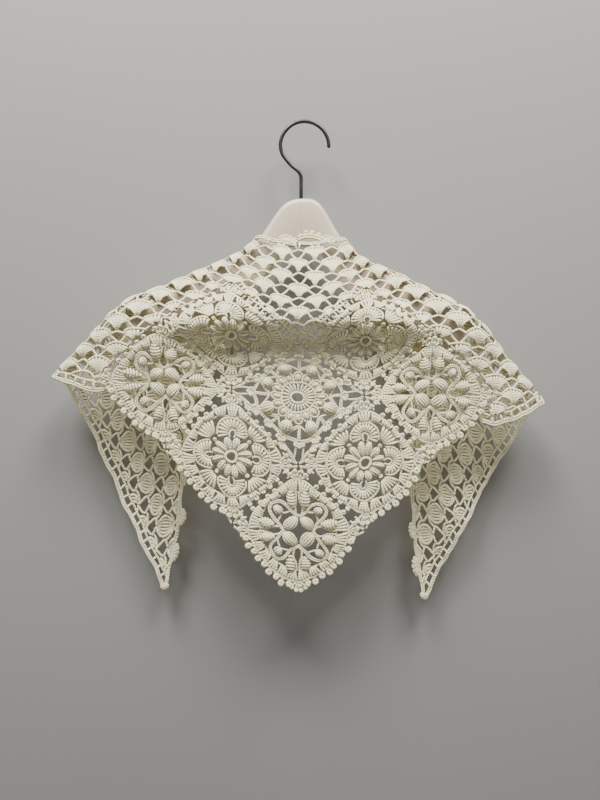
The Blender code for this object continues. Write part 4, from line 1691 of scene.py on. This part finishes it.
@dataclass(frozen=True)
class Studio:
    """The plain room round the scarf: wall, floor, soft lights and the camera."""

    camera_at: Triple = (-0.0112, -0.643, -0.258)
    camera_turn: Triple = (90 - 2.86, 0.0, -0.57)
    lens: float = 27.05
    sensor: float = 36.0
    half: float = 12.0
    wall_y: float = 0.03
    floor_z: float = -2.3
    wall: PlainFinish = PlainFinish("wall_paint", (0.25, 0.246, 0.236), True)
    floor: PlainFinish = PlainFinish("floor_paint", (0.62, 0.61, 0.60))
    lights: tuple[SoftLight, ...] = (
        SoftLight("left", (-0.5, -0.8, 1.28), (35, 0, -29), 0.6, 61),
        SoftLight("right", (0.5, -0.8, 1.28), (35, 0, 29), 0.6, 55),
        SoftLight("fill", (0.1, -2.2, -0.1), (88, 0, 2), 1.4, 4),
        SoftLight("behind", (0.2, 1.7, 0.4), (-70, 0, -5), 0.9, 19),
    )
    air: tuple[float, ...] = (0.57, 0.56, 0.545, 1)
    air_strength: float = 0.26

    def plane(self, name: str, finish: PlainFinish, at: Triple, lean: float) -> bpy.types.Object:
        """Adds a large plain surface.

        Args:
            name: Its name.
            finish: Its paint.
            at: Its middle.
            lean: How far it is turned up, in degrees.

        Returns:
            The surface.
        """
        mesh = bpy.data.meshes.new(name)
        corners = [(x * self.half, y * self.half, 0) for x, y in ((-1, -1), (1, -1), (1, 1), (-1, 1))]
        mesh.from_pydata(corners, [], [(0, 1, 2, 3)])
        mesh.materials.append(finish.material())
        made = linked(name, mesh, at, (lean, 0, 0))
        return made

    def build(self) -> None:
        """Sets up the room, its lights and the camera."""
        wall = self.plane("wall", self.wall, (0, self.wall_y, 0), 90)
        wall.visible_shadow = False
        self.plane("floor", self.floor, (0, 0, self.floor_z), 0)
        for light in self.lights:
            light.build()
        world = bpy.data.worlds.new("room")
        world.use_nodes = True
        background = world.node_tree.nodes["Background"]
        background.inputs[0].default_value = self.air
        background.inputs[1].default_value = self.air_strength
        bpy.context.scene.world = world
        data = bpy.data.cameras.new("camera")
        data.lens = self.lens
        data.sensor_width = self.sensor
        bpy.context.scene.camera = linked("camera", data, self.camera_at, self.camera_turn)


SQUEEZED = 0.62  # flatness of the yarn in the motifs that sag the most


def motifs(hang: Hang, finish: bpy.types.Material) -> list[Motif]:
    """The eight motifs of the scarf.

    Args:
        hang: How they hang.
        finish: Their yarn.

    Returns:
        The motifs, from the point upwards.
    """
    return [
        Motif("flower_point", "motif_point", hang, finish, 0, 0, Pattern.CURL, (225, 315)),
        Motif("flower_low_left", "motif_low_left", hang, finish, -1, 1, Pattern.DAISY, (225,)),
        Motif("flower_low_right", "motif_low_right", hang, finish, 1, 1, Pattern.DAISY, (315,)),
        Motif("flower_middle", "motif_middle", hang, finish, 0, 2, Pattern.RING),
        Motif("flower_side_left", "motif_side_left", hang, finish, -2, 2, Pattern.CURL, (225,)),
        Motif("flower_side_right", "motif_side_right", hang, finish, 2, 2, Pattern.CURL, (315,)),
        Motif("flower_neck_left", "motif_neck_left", hang, finish, -1, 3, Pattern.DAISY, (), SQUEEZED),
        Motif("flower_neck_right", "motif_neck_right", hang, finish, 1, 3, Pattern.DAISY, (), SQUEEZED),
    ]


def main() -> None:
    """Builds the pieces and the room in order; the hanger's pieces log their face counts."""
    logging.basicConfig(level=logging.INFO, format="%(name)s %(message)s")
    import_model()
    hang = Hang()
    yarn = YarnFinish().material()
    for motif in motifs(hang, yarn):
        motif.build()
    Net("net_left", "net_front", hang, yarn, -1, "tail_left").build()
    Net("net_right", "net_front", hang, yarn, 1, "tail_right").build()
    hanger = Hanger(hang, MouldingFinish().material(), WireFinish().material())
    hanger.build_body()
    hanger.build_hook()
    Studio().build()


if __name__ == "__main__":
    main()
